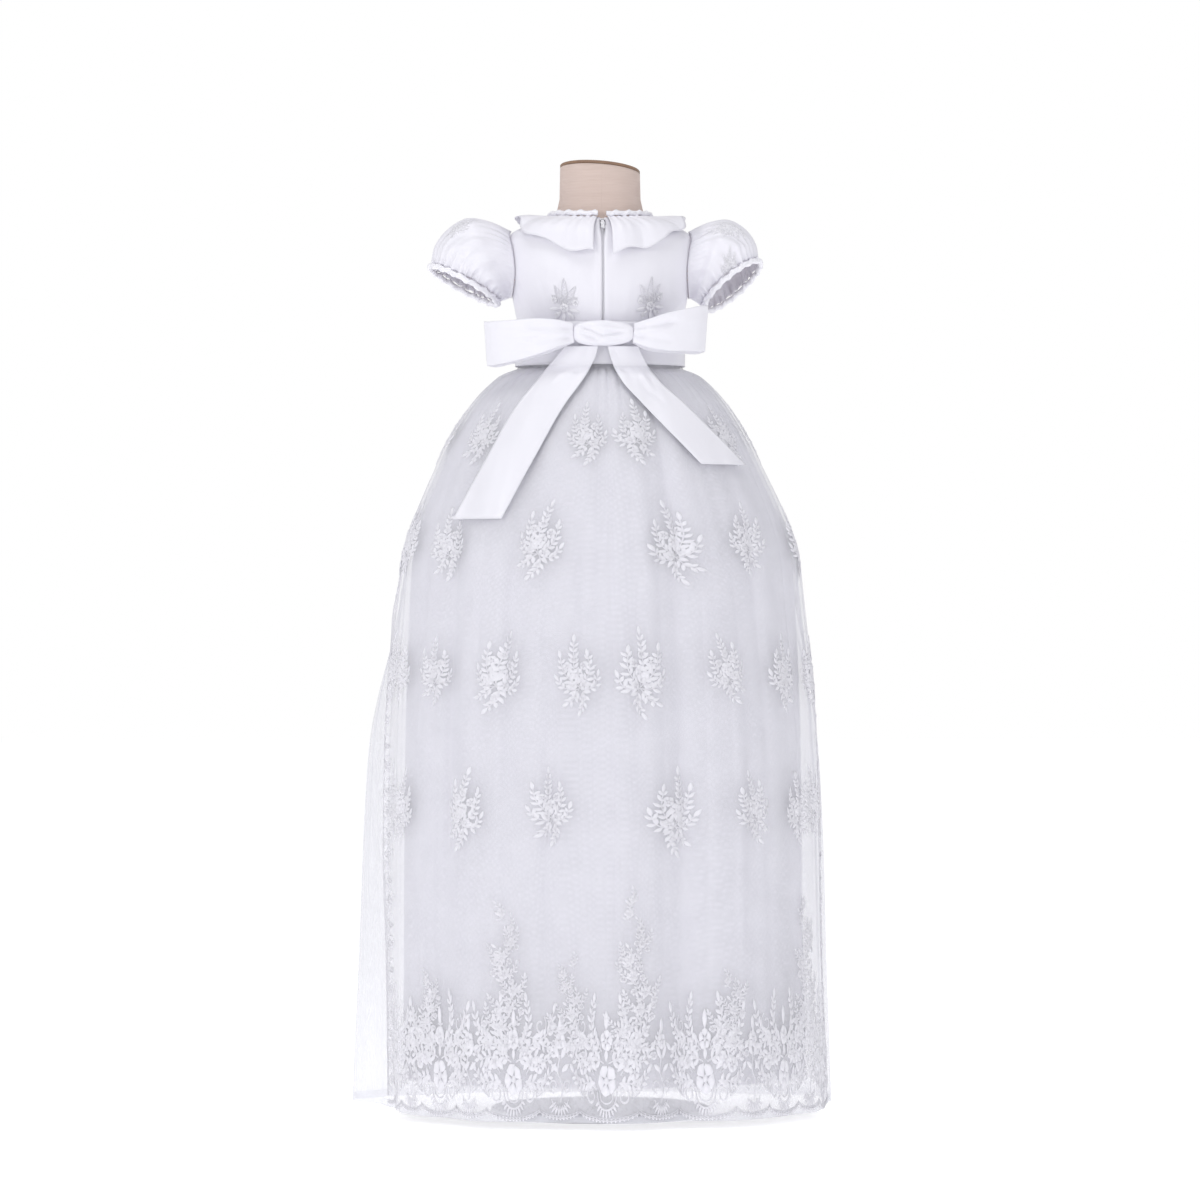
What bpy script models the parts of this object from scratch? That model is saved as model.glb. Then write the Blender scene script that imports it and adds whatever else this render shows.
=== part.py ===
"""A long white christening gown on a limbless dress form with a stand.

Metres, +Z up. The gown's front faces -Y, its back +Y and its left side +X. The origin is on the
floor under the middle of the stand's base. A turn is an angle in degrees round the body, 0 at the
centre back and 90 at the left side.
"""

import math
from collections import namedtuple

import bmesh
import bpy
from mathutils import Matrix, Vector

# Cloth thicknesses and seams
SATIN = 0.0012
NET = 0.0010
SEAM = 0.0003
LAY = 0.0005

# Waist and hem
WAIST_SEAM_Z = 0.7056
SASH_TOP_Z = 0.7246
SASH_BOTTOM_Z = 0.6858
SASH_MIDDLE_Z = 0.7100
SHORTEST_SCALLOP_Z = 0.0165
SCALLOP_DEPTH = 0.0085

# The sash follows the body's width at a height of its own, so that its low edge doesn't flare.
SashLevel = namedtuple("SashLevel", "height body_height out")
SASH = [
    SashLevel(SASH_TOP_Z, SASH_TOP_Z, 0.0025),
    SashLevel(SASH_MIDDLE_Z, SASH_MIDDLE_Z, 0.0068),
    SashLevel(SASH_BOTTOM_Z, 0.7010, 0.0068),
]

# Skirt grid
SKIRT_COLUMNS = 96
COLUMN_TURN = 360.0 / SKIRT_COLUMNS
LACE_FIXED_COLUMNS = 23
FLARE_START_TURN = 88.0
LACE_SIDE_COLUMNS = 12

# Broad folds round the skirts: how many, where they start in radians, and their share
Folds = namedtuple("Folds", "count start share")
LINING_FOLDS = [Folds(9, 0.5, 1.0), Folds(14, 2.0, 0.6)]
TULLE_FOLDS = [Folds(11, 0.6, 1.0), Folds(17, 2.1, 0.6)]
TULLE_FOLD_BASE = 1.6

# Neck and collar
NECKLINE_Z = 0.8225
NECK_DROP_FRONT = 0.0140
NECK_DROP_BACK = 0.0040
COLLAR_DEPTH = 0.0280
COLLAR_HALF_SPLIT = 0.0044
COLLAR_COLUMNS = 52
COLLAR_WAVES = 13
COLLAR_WAVE = 0.0022
COLLAR_ROWS = (0.0, 0.34, 0.68, 1.0)
COLLAR_LIFT_BACK = 0.0016
COLLAR_LIFT_SHOULDER = 0.0062
BRAID_RADIUS = 0.0023
BRAID_RUCHE = 0.00045
NECK_BRAID_RUCHES = 22
NECK_BRAID_CLEAR = 0.0015
NECK_BRAID_HALF_SPLIT = 0.0048
CUFF_BRAID_RUCHES = 18
BRAID_SIDES = 5

# Bodice
BODICE_COLUMNS = 40
SIDE_SEAM_TURN = 95.0
ZIP_HALF_WIDTH = 0.0014
ARMHOLE_Z = 0.7790
ARMHOLE_HALF_HEIGHT = 0.0278
ARMHOLE_HALF_DEPTH = 0.0235
ARMHOLE_CUT_OUT = (0.055, 0.115)
ARMHOLE_SIDES = 32
BODICE_LOWEST_LEVEL = 0.7150
SLEEVE_LAP = 0.0022

# Sleeves
SLEEVE_COLUMNS = 28
SLEEVE_GATHER = 0.0012

# Zip
SLIDER_BELOW_NECK = 0.0068
SLIDER_SIZE = (0.0050, 0.0072, 0.0020)
SLIDER_BEVEL = 0.0005
LUG_SIZE = (0.0007, 0.0022, 0.0021)
LUG_GAP = 0.0028
LUG_SINK = 0.0003
PIN_RADIUS = 0.00045
PIN_OUT = 0.0012
TAB_WIDTH = 0.0030
TAB_EYE_WIDTH = 0.0022
TAB_THICKNESS = 0.0009
TAB_BLADE_SPAN = (0.00065, 0.00365)
TAB_PLATE_SPAN = (0.00230, 0.01150)
TAB_EYE_RADIUS = 0.00092
TAB_HOLE_RADIUS = 0.00053
ZIP_PART_SIDES = 16

# Stand
NECK_TOP_Z = 0.8650
NECK_TOP_TILT_BACK = 0.0045
NECK_TOP_TILT_SIDE = 0.0030
NECK_CAP_THICKNESS = 0.0030
TORSO_COLUMNS = 28
POLE_RADIUS = 0.0060
POLE_COLLAR_RADIUS = 0.0110
POLE_COLLAR_HEIGHT = 0.0140
POLE_COLLAR_CHAMFER = 0.0020
POLE_SIDES = 24
BASE_RADIUS = 0.1000
BASE_THICKNESS = 0.0080
BASE_BEVEL = 0.0020
BASE_SIDES = 48

TorsoLevel = namedtuple("TorsoLevel", "height half_width depth_back depth_front neck_pull ease")
TORSO = [
    TorsoLevel(0.6000, 0.0860, 0.0740, 0.0740, 0.00, 0.0010),
    TorsoLevel(0.6450, 0.0810, 0.0695, 0.0695, 0.00, 0.0010),
    TorsoLevel(0.6660, 0.0735, 0.0635, 0.0635, 0.00, 0.0010),
    TorsoLevel(0.6810, 0.0700, 0.0605, 0.0605, 0.00, 0.0007),
    TorsoLevel(0.7096, 0.0700, 0.0605, 0.0605, 0.00, 0.0007),
    TorsoLevel(0.7246, 0.0734, 0.0632, 0.0632, 0.00, 0.0008),
    TorsoLevel(0.7500, 0.0780, 0.0652, 0.0662, 0.00, 0.0012),
    TorsoLevel(0.7720, 0.0818, 0.0645, 0.0675, 0.00, 0.0012),
    TorsoLevel(0.7880, 0.0836, 0.0620, 0.0665, 0.05, 0.0012),
    TorsoLevel(0.8000, 0.0832, 0.0588, 0.0635, 0.15, 0.0010),
    TorsoLevel(0.8080, 0.0798, 0.0558, 0.0595, 0.35, 0.0007),
    TorsoLevel(0.8145, 0.0700, 0.0522, 0.0545, 0.65, 0.0005),
    TorsoLevel(0.8190, 0.0570, 0.0488, 0.0490, 0.90, 0.0005),
    TorsoLevel(0.8225, 0.0458, 0.0447, 0.0432, 1.00, 0.0005),
    TorsoLevel(0.8290, 0.0405, 0.0400, 0.0400, 0.70, 0.0005),
    TorsoLevel(0.8400, 0.0372, 0.0370, 0.0370, 0.20, 0.0005),
]
NECK_RADIUS = 0.0366

LiningLevel = namedtuple("LiningLevel", "height left right depth fold")
LINING = [
    LiningLevel(0.7053, 0.0707, 0.0707, 0.0612, 0.0000),
    LiningLevel(0.6828, 0.0707, 0.0707, 0.0612, 0.0000),
    LiningLevel(0.6720, 0.0900, 0.0895, 0.0752, 0.0002),
    LiningLevel(0.6500, 0.1115, 0.1100, 0.0925, 0.0004),
    LiningLevel(0.6000, 0.1400, 0.1375, 0.1155, 0.0008),
    LiningLevel(0.5000, 0.1710, 0.1740, 0.1340, 0.0012),
    LiningLevel(0.3300, 0.1780, 0.1815, 0.1410, 0.0018),
    LiningLevel(0.1300, 0.1795, 0.1830, 0.1440, 0.0024),
    LiningLevel(0.0360, 0.1800, 0.1840, 0.1450, 0.0028),
]

# The tulle hangs from points moved out from the lining, further out by its own fullness.
TulleLevel = namedtuple(
    "TulleLevel", "height left right back front flare_left flare_right gather fold")
TULLE = [
    TulleLevel(0.7053, 0.0000, 0.0000, 0.0000, 0.0000, 0.000, 0.000, 0.0008, 0.0000),
    TulleLevel(0.6828, 0.0000, 0.0000, 0.0000, 0.0000, 0.000, 0.000, 0.0008, 0.0000),
    TulleLevel(0.6720, 0.0004, 0.0004, 0.0004, 0.0004, 0.000, 0.000, 0.0011, 0.0000),
    TulleLevel(0.6500, 0.0008, 0.0008, 0.0008, 0.0008, 0.000, 0.000, 0.0006, 0.0002),
    TulleLevel(0.6000, 0.0020, 0.0020, 0.0020, 0.0024, 0.000, 0.000, 0.0000, 0.0005),
    TulleLevel(0.5000, 0.0018, 0.0010, 0.0036, 0.0050, 0.018, 0.010, 0.0000, 0.0010),
    TulleLevel(0.3300, 0.0022, 0.0080, 0.0078, 0.0104, 0.058, 0.044, 0.0000, 0.0016),
    TulleLevel(0.1300, 0.0018, 0.0110, 0.0086, 0.0130, 0.067, 0.050, 0.0000, 0.0022),
    TulleLevel(0.0065, 0.0006, 0.0136, 0.0090, 0.0145, 0.074, 0.050, 0.0000, 0.0028),
]

# The lace is open in front: its edges part from the waist to the hem.
LaceLevel = namedtuple("LaceLevel", "gap edge_turn")
LACE = [
    LaceLevel(0.0004, 131.25),
    LaceLevel(0.0004, 131.25),
    LaceLevel(0.0005, 131.25),
    LaceLevel(0.0014, 127.50),
    LaceLevel(0.0020, 120.00),
    LaceLevel(0.0034, 110.63),
    LaceLevel(0.0036, 101.25),
    LaceLevel(0.0018, 95.63),
    LaceLevel(0.0016, 93.75),
]

# One repeat of the scalloped edge, a column of the skirt to a row: 0 at a notch, 1 at the lowest.
SCALLOP_REPEAT = (0.0, 0.80, 1.0, 0.80, 0.0, 0.72, 0.72)
SCALLOP_SHIFT = 2

# Each sleeve's sections run from the armhole to the cuff.
SleeveSection = namedtuple(
    "SleeveSection", "top_out top_height under_out under_height half_depth face_back gather")
LEFT_SLEEVE = [
    SleeveSection(0.1040, 0.8195, 0.0835, 0.7482, 0.0330, 0.0, 0.7),
    SleeveSection(0.1220, 0.8215, 0.0860, 0.7475, 0.0385, 0.0, 0.35),
    SleeveSection(0.1395, 0.8115, 0.0885, 0.7470, 0.0400, 3.0, 0.35),
    SleeveSection(0.1505, 0.7970, 0.0905, 0.7466, 0.0375, 5.0, 0.6),
    SleeveSection(0.1545, 0.7800, 0.0925, 0.7460, 0.0320, 6.0, 0.8),
]
RIGHT_SLEEVE = [
    SleeveSection(0.1030, 0.8190, 0.0838, 0.7475, 0.0330, 0.0, 0.7),
    SleeveSection(0.1180, 0.8205, 0.0865, 0.7460, 0.0385, 4.0, 0.35),
    SleeveSection(0.1335, 0.8120, 0.0892, 0.7445, 0.0400, 9.0, 0.35),
    SleeveSection(0.1425, 0.7995, 0.0917, 0.7428, 0.0375, 13.0, 0.6),
    SleeveSection(0.1455, 0.7842, 0.0940, 0.7412, 0.0320, 16.0, 0.5),
]

# A bow loop's ribbon leaves the knot along the body, folds at its far end and comes back outside.
LoopStation = namedtuple("LoopStation", "out back height half_width")
LEFT_LOOP = [
    LoopStation(0.0274, 0.0728, 0.7132, 0.0086),
    LoopStation(0.0400, 0.0690, 0.7127, 0.0115),
    LoopStation(0.0600, 0.0655, 0.7097, 0.0160),
    LoopStation(0.0850, 0.0565, 0.7062, 0.0188),
    LoopStation(0.1010, 0.0490, 0.7050, 0.0198),
    LoopStation(0.1050, 0.0505, 0.7047, 0.0200),
    LoopStation(0.1020, 0.0560, 0.7047, 0.0200),
    LoopStation(0.0850, 0.0690, 0.7062, 0.0190),
    LoopStation(0.0600, 0.0800, 0.7102, 0.0162),
    LoopStation(0.0400, 0.0815, 0.7132, 0.0118),
    LoopStation(0.0274, 0.0770, 0.7135, 0.0086),
]
RIGHT_LOOP = [
    LoopStation(0.0274, 0.0728, 0.7132, 0.0086),
    LoopStation(0.0380, 0.0692, 0.7127, 0.0120),
    LoopStation(0.0550, 0.0665, 0.7142, 0.0165),
    LoopStation(0.0750, 0.0600, 0.7165, 0.0195),
    LoopStation(0.0895, 0.0535, 0.7182, 0.0208),
    LoopStation(0.0935, 0.0550, 0.7185, 0.0210),
    LoopStation(0.0900, 0.0610, 0.7185, 0.0210),
    LoopStation(0.0750, 0.0725, 0.7167, 0.0196),
    LoopStation(0.0550, 0.0805, 0.7145, 0.0168),
    LoopStation(0.0380, 0.0812, 0.7132, 0.0122),
    LoopStation(0.0274, 0.0770, 0.7135, 0.0086),
]
LOOP_LEAN = {"left": 4.0, "right": -4.0}

TailStation = namedtuple("TailStation", "side height half_width stand")
LEFT_TAIL = [
    TailStation(0.0150, 0.7002, 0.0105, 0.0072),
    TailStation(0.0235, 0.6902, 0.0165, 0.0064),
    TailStation(0.0305, 0.6829, 0.0190, 0.0050),
    TailStation(0.0395, 0.6712, 0.0205, 0.0028),
    TailStation(0.0560, 0.6500, 0.0213, 0.0024),
    TailStation(0.0850, 0.6000, 0.0214, 0.0019),
    TailStation(0.1150, 0.5450, 0.0214, 0.0016),
]
RIGHT_TAIL = [
    TailStation(-0.0120, 0.7002, 0.0100, 0.0072),
    TailStation(-0.0185, 0.6902, 0.0140, 0.0064),
    TailStation(-0.0240, 0.6829, 0.0155, 0.0050),
    TailStation(-0.0320, 0.6712, 0.0170, 0.0030),
    TailStation(-0.0530, 0.6500, 0.0195, 0.0026),
    TailStation(-0.1080, 0.5945, 0.0212, 0.0024),
]
TAIL_COLUMNS = 5
TAIL_STEEP_SIDE = 0.1200

KnotRing = namedtuple("KnotRing", "out half_depth half_height")
KNOT = [
    KnotRing(-0.0262, 0.0042, 0.0088),
    KnotRing(-0.0225, 0.0062, 0.0106),
    KnotRing(-0.0120, 0.0072, 0.0114),
    KnotRing(0.0000, 0.0074, 0.0110),
    KnotRing(0.0120, 0.0072, 0.0113),
    KnotRing(0.0225, 0.0062, 0.0107),
    KnotRing(0.0262, 0.0042, 0.0089),
]
KNOT_BACK = 0.0758
KNOT_Z = 0.7134
KNOT_SIDES = 14

SHARP_ANGLE = math.radians(50)

Finish = namedtuple("Finish", "name colour roughness metallic")
FINISHES = {
    "satin": Finish("satin", (0.89, 0.87, 0.93), 0.35, 0.0),
    "ribbon": Finish("ribbon", (0.90, 0.88, 0.95), 0.32, 0.0),
    "tulle": Finish("tulle", (0.86, 0.86, 0.90), 0.70, 0.0),
    "lace": Finish("lace", (0.83, 0.82, 0.87), 0.65, 0.0),
    "braid": Finish("braid", (0.92, 0.91, 0.96), 0.55, 0.0),
    "zip_metal": Finish("zip_metal", (0.62, 0.62, 0.64), 0.30, 1.0),
    "linen": Finish("linen", (0.66, 0.54, 0.48), 0.80, 0.0),
    "cap_wood": Finish("cap_wood", (0.28, 0.18, 0.11), 0.50, 0.0),
    "stand_steel": Finish("stand_steel", (0.55, 0.55, 0.57), 0.35, 1.0),
}


def clear_scene():
    for old in list(bpy.data.objects):
        bpy.data.objects.remove(old, do_unlink=True)


def new_collection(name):
    made = bpy.data.collections.new(name)
    bpy.context.scene.collection.children.link(made)
    return made


def finish_of(name):
    """The material of one finish, made once."""
    if name in bpy.data.materials:
        return bpy.data.materials[name]
    finish = FINISHES[name]
    material = bpy.data.materials.new(finish.name)
    material.use_nodes = True
    shader = material.node_tree.nodes["Principled BSDF"]
    shader.inputs["Base Color"].default_value = (*finish.colour, 1.0)
    shader.inputs["Roughness"].default_value = finish.roughness
    shader.inputs["Metallic"].default_value = finish.metallic
    return material


def mesh_from(name, bm):
    """Turns a bmesh into a named mesh and frees it."""
    mesh = bpy.data.meshes.new(name)
    bm.to_mesh(mesh)
    bm.free()
    return mesh


def add_object(name, mesh, finish, collection):
    made = bpy.data.objects.new(name, mesh)
    collection.objects.link(made)
    mesh.materials.append(finish_of(finish))
    mesh.shade_smooth()
    mesh.set_sharp_from_angle(angle=SHARP_ANGLE)
    return made


def blend(low, high, share):
    return low + (high - low) * share


# Grids of points


def grid_mesh(name, grid, around):
    """An open mesh through rows of points, closed round its columns where around is true."""
    bm = bmesh.new()
    rows = [[bm.verts.new(point) for point in row] for row in grid]
    columns = len(grid[0])
    for upper, lower in zip(rows, rows[1:]):
        for column in range(columns if around else columns - 1):
            after = (column + 1) % columns
            bm.faces.new((upper[column], upper[after], lower[after], lower[column]))
    return mesh_from(name, bm)


def cloth(name, grid, thickness, around, finish, collection):
    """A wall of cloth that grows outwards from its inner points."""
    made = add_object(name, grid_mesh(name, grid, around), finish, collection)
    wall = made.modifiers.new("wall", "SOLIDIFY")
    wall.thickness = thickness
    wall.offset = 1.0
    wall.use_even_offset = False
    return made


def layer(name, inner, thickness, around, finish, collection):
    """A wall between a grid and its points moved out, so that the next layer can lie on it."""
    outer = moved_out(inner, [thickness] * len(inner), around)
    bm = bmesh.new()
    low, high = ([[bm.verts.new(point) for point in row] for row in grid] for grid in (inner, outer))
    rows, columns = len(inner), len(inner[0])
    quads = []
    for column in range(columns if around else columns - 1):
        after = (column + 1) % columns
        for row in range(rows - 1):
            for side in (low, high):
                upper, lower = side[row], side[row + 1]
                quads.append((upper[column], upper[after], lower[after], lower[column]))
        for end in (0, -1):
            quads.append((low[end][column], low[end][after], high[end][after], high[end][column]))
    if not around:
        for end in (0, -1):
            for row in range(rows - 1):
                quads.append((low[row][end], low[row + 1][end], high[row + 1][end], high[row][end]))
    for quad in quads:
        bm.faces.new(quad)
    bmesh.ops.recalc_face_normals(bm, faces=bm.faces)
    return add_object(name, mesh_from(name, bm), finish, collection)


def capped_solid(name, rings, finish, collection):
    """A closed solid through rings, with a flat face at each end."""
    bm = bmesh.new()
    loops = [[bm.verts.new(point) for point in ring] for ring in rings]
    count = len(rings[0])
    for upper, lower in zip(loops, loops[1:]):
        for place in range(count):
            after = (place + 1) % count
            bm.faces.new((upper[place], upper[after], lower[after], lower[place]))
    bm.faces.new(loops[0])
    bm.faces.new(loops[-1])
    bmesh.ops.recalc_face_normals(bm, faces=bm.faces)
    return add_object(name, mesh_from(name, bm), finish, collection)


def grid_normal(grid, row, column, around):
    """The outward direction of a grid at one point."""
    columns = len(grid[0])
    above = grid[max(row - 1, 0)][column]
    below = grid[min(row + 1, len(grid) - 1)][column]
    if around:
        before, after = grid[row][column - 1], grid[row][(column + 1) % columns]
    else:
        before, after = grid[row][max(column - 1, 0)], grid[row][min(column + 1, columns - 1)]
    return (after - before).cross(below - above).normalized()


def moved_out(grid, distances, around):
    """The grid's points moved outwards, by a distance for each row."""
    return [
        [point + grid_normal(grid, row, column, around) * distances[row]
         for column, point in enumerate(points)]
        for row, points in enumerate(grid)
    ]


# Torso, which the form and everything above the waist follow


def torso_values(height):
    """The torso's row of sizes at one height, between the table's rows."""
    for low, high in zip(TORSO, TORSO[1:]):
        if height <= high.height:
            share = max((height - low.height) / (high.height - low.height), 0.0)
            return TorsoLevel(*(blend(a, b, share) for a, b in zip(low, high)))
    return TORSO[-1]


def torso_skin(height, turn):
    level = torso_values(height)
    angle = math.radians(turn)
    depth = level.depth_back if math.cos(angle) >= 0 else level.depth_front
    drop_front = NECK_DROP_FRONT * ((1 - math.cos(angle)) / 2) ** 2
    drop_back = NECK_DROP_BACK * ((1 + math.cos(angle)) / 2) ** 2
    return Vector((
        level.half_width * math.sin(angle),
        depth * math.cos(angle),
        level.height - level.neck_pull * (drop_front + drop_back),
    ))


def torso_normal(height, turn, step=0.0008):
    across = torso_skin(height, turn + 1.0) - torso_skin(height, turn - 1.0)
    down = torso_skin(height - step, turn) - torso_skin(height + step, turn)
    return across.cross(down).normalized()


def on_torso(height, turn, out):
    """A point a distance out from the form's skin."""
    return torso_skin(height, turn) + torso_normal(height, turn) * out


def turn_for_side(side, height):
    """The turn at the back where the torso's skin is a given distance from the centre plane."""
    return math.degrees(math.asin(side / torso_values(height).half_width))


def height_below_neck(distance, turn, step=0.0005):
    """The height that lies a distance down the skin from the neckline."""
    height, walked, last = NECKLINE_Z, 0.0, torso_skin(NECKLINE_Z, turn)
    while walked < distance:
        height -= step
        point = torso_skin(height, turn)
        walked += (point - last).length
        last = point
    return height


def make_form(collection):
    turns = [360.0 * place / TORSO_COLUMNS for place in range(TORSO_COLUMNS)]
    rings = [[torso_skin(level.height, turn) for turn in turns] for level in TORSO]
    rings.append(neck_ring(NECK_TOP_Z, turns))
    capped_solid("form_torso", rings[::-1], "linen", collection)
    cap = [neck_ring(NECK_TOP_Z + SEAM, turns), neck_ring(NECK_TOP_Z + SEAM + NECK_CAP_THICKNESS, turns)]
    capped_solid("form_neck_cap", cap[::-1], "cap_wood", collection)


def neck_ring(height, turns):
    """A ring of the neck's slanted top, highest at the back."""
    ring = []
    for turn in turns:
        across, back = math.sin(math.radians(turn)), math.cos(math.radians(turn))
        tilt = NECK_TOP_TILT_BACK * back + NECK_TOP_TILT_SIDE * across
        ring.append(Vector((NECK_RADIUS * across, NECK_RADIUS * back, height + tilt)))
    return ring


def make_stand(collection):
    bpy.ops.mesh.primitive_cylinder_add(
        vertices=BASE_SIDES, radius=BASE_RADIUS, depth=BASE_THICKNESS, location=(0, 0, BASE_THICKNESS / 2))
    base = adopt(bpy.context.object, "form_base", "stand_steel", collection)
    bevel = base.modifiers.new("edge", "BEVEL")
    bevel.width = BASE_BEVEL
    bevel.segments = 2
    bevel.limit_method = "ANGLE"
    top = TORSO[0].height - SEAM
    foot = BASE_THICKNESS + SEAM
    profile = [
        (0.0, top), (POLE_RADIUS, top), (POLE_RADIUS, foot + POLE_COLLAR_HEIGHT),
        (POLE_COLLAR_RADIUS, foot + POLE_COLLAR_HEIGHT - POLE_COLLAR_CHAMFER),
        (POLE_COLLAR_RADIUS, foot), (0.0, foot),
    ]
    mesh = bpy.data.meshes.new("form_pole")
    mesh.from_pydata([(x, 0, z) for x, z in profile], [(i, i + 1) for i in range(len(profile) - 1)], [])
    pole = add_object("form_pole", mesh, "stand_steel", collection)
    turned = pole.modifiers.new("turned", "SCREW")
    turned.steps = turned.render_steps = POLE_SIDES
    turned.use_merge_vertices = True
    turned.merge_threshold = 0.00005


def adopt(made, name, finish, collection):
    """Names a primitive, gives it its finish and moves it to its collection."""
    made.name = name
    made.data.name = name
    for old in list(made.users_collection):
        old.objects.unlink(made)
    collection.objects.link(made)
    made.data.materials.append(finish_of(finish))
    made.data.shade_smooth()
    made.data.set_sharp_from_angle(angle=SHARP_ANGLE)
    return made


# Bodice, zip and collar


def bodice_heights():
    heights = [WAIST_SEAM_Z + SEAM]
    heights += [level.height for level in TORSO if BODICE_LOWEST_LEVEL < level.height <= NECKLINE_Z]
    return heights[::-1]


def bodice_panel(name, turns_at, cutters, collection):
    """A panel over the form, whose turns may change with height to keep an edge straight."""
    grid = []
    for height in bodice_heights():
        out = torso_values(height).ease
        grid.append([on_torso(height, turn, out) for turn in turns_at(height)])
    panel = cloth(name, grid, SATIN, False, "satin", collection)
    for cutter in cutters:
        cut = panel.modifiers.new("armhole", "BOOLEAN")
        cut.operation = "DIFFERENCE"
        cut.object = cutter
    return panel


def spread(start, end, count):
    return [blend(start, end, place / count) for place in range(count + 1)]


def make_armhole_cutters(cutters):
    made = []
    for side, word in ((1, "left"), (-1, "right")):
        inner, outer = ARMHOLE_CUT_OUT
        bpy.ops.mesh.primitive_cylinder_add(
            vertices=ARMHOLE_SIDES, radius=1.0, depth=outer - inner, rotation=(0, math.pi / 2, 0),
            location=(side * (inner + outer) / 2, 0, ARMHOLE_Z))
        cutter = bpy.context.object
        shape = Matrix.Diagonal((ARMHOLE_HALF_HEIGHT, ARMHOLE_HALF_DEPTH, 1.0, 1.0))
        cutter.data.transform(shape)
        adopt(cutter, "armhole_cutter_" + word, "satin", cutters)
        cutter.hide_render = True
        cutter.display_type = "WIRE"
        made.append(cutter)
    return made


def make_bodice(cutters, collection):
    half_seam = math.degrees(SEAM / 2 / NECK_RADIUS)
    side = SIDE_SEAM_TURN
    quarter = BODICE_COLUMNS // 4

    def zip_turn(height):
        return turn_for_side(ZIP_HALF_WIDTH + SEAM, height)

    def left_turns(height):
        return spread(zip_turn(height), side - half_seam, quarter)

    def right_turns(height):
        return spread(-side + half_seam, -zip_turn(height), quarter)

    def front_turns(_height):
        return spread(side + half_seam, 360.0 - side - half_seam, 2 * quarter)

    bodice_panel("bodice_back_left", left_turns, cutters[:1], collection)
    bodice_panel("bodice_back_right", right_turns, cutters[1:], collection)
    bodice_panel("bodice_front", front_turns, cutters, collection)

    def strip_turns(height):
        edge = turn_for_side(ZIP_HALF_WIDTH, height)
        return [-edge, edge]

    bodice_panel("zip_strip", strip_turns, [], collection)


def collar_stand(share, turn):
    """How far the ruffle stands off the bodice: most over the shoulders, with a wave at its edge."""
    shoulder = math.sin(math.radians(turn)) ** 2
    lift = blend(COLLAR_LIFT_BACK, COLLAR_LIFT_SHOULDER, shoulder) * share
    wave = COLLAR_WAVE * (1 - math.cos(math.radians(COLLAR_WAVES * turn))) * share ** 1.5
    return lift + wave


def make_collar(collection):
    split = turn_for_side(COLLAR_HALF_SPLIT, NECKLINE_Z)
    turns = spread(split, 360.0 - split, COLLAR_COLUMNS)
    grid = []
    for share in COLLAR_ROWS:
        row = []
        for turn in turns:
            height = height_below_neck(COLLAR_DEPTH * share, turn)
            out = torso_values(height).ease + SATIN + LAY + collar_stand(share, turn)
            row.append(on_torso(height, turn, out))
        grid.append(row)
    cloth("collar", grid, SATIN, False, "satin", collection)


def braid_tube(name, path, spine_up, around, ruches, collection):
    """A tube of ruched braid, fat between its stitches and thin at each."""
    count = len(path)
    rings = []
    for place, point in enumerate(path):
        before = path[place - 1] if around or place else path[0]
        after = path[(place + 1) % count] if around or place < count - 1 else path[-1]
        along = (after - before).normalized()
        out = spine_up[place].cross(along).normalized()
        up = along.cross(out).normalized()
        swell = math.cos(2 * math.pi * ruches * place / (count if around else count - 1))
        radius = BRAID_RADIUS - BRAID_RUCHE * swell
        rings.append([
            point + (out * math.cos(angle) + up * math.sin(angle)) * radius
            for angle in (2 * math.pi * side / BRAID_SIDES for side in range(BRAID_SIDES))
        ])
    if not around:
        return capped_solid(name, rings, "braid", collection)
    bm = bmesh.new()
    loops = [[bm.verts.new(point) for point in ring] for ring in rings]
    for place in range(count):
        here, after = loops[place], loops[(place + 1) % count]
        for side in range(BRAID_SIDES):
            beside = (side + 1) % BRAID_SIDES
            bm.faces.new((here[side], here[beside], after[beside], after[side]))
    bmesh.ops.recalc_face_normals(bm, faces=bm.faces)
    return add_object(name, mesh_from(name, bm), "braid", collection)


def make_neck_braid(collection, step=0.0010):
    split = turn_for_side(NECK_BRAID_HALF_SPLIT, NECKLINE_Z)
    turns = spread(split, 360.0 - split, 2 * NECK_BRAID_RUCHES)
    path, ups = [], []
    rise = BRAID_RADIUS + BRAID_RUCHE + LAY
    for turn in turns:
        edge = on_torso(NECKLINE_Z, turn, rise + NECK_BRAID_CLEAR)
        up = torso_skin(NECKLINE_Z + 2 * step, turn) - torso_skin(NECKLINE_Z - step, turn)
        path.append(edge + up.normalized() * rise)
        ups.append(Vector((0, 0, 1)))
    braid_tube("neck_braid", path, ups, False, NECK_BRAID_RUCHES, collection)


# Sleeves


def armhole_ring(side):
    """The sleeve's edge, lapped over the armhole and lying on the bodice."""
    ring = []
    for place in range(SLEEVE_COLUMNS):
        angle = 2 * math.pi * place / SLEEVE_COLUMNS
        height = ARMHOLE_Z + (ARMHOLE_HALF_HEIGHT + SLEEVE_LAP) * math.cos(angle)
        back = (ARMHOLE_HALF_DEPTH + SLEEVE_LAP) * math.sin(angle)
        level = torso_values(height)
        depth = level.depth_back if back >= 0 else level.depth_front
        turn = math.degrees(math.acos(back / depth))
        ring.append(on_torso(height, side * turn, level.ease + SATIN + LAY))
    return ring


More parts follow.
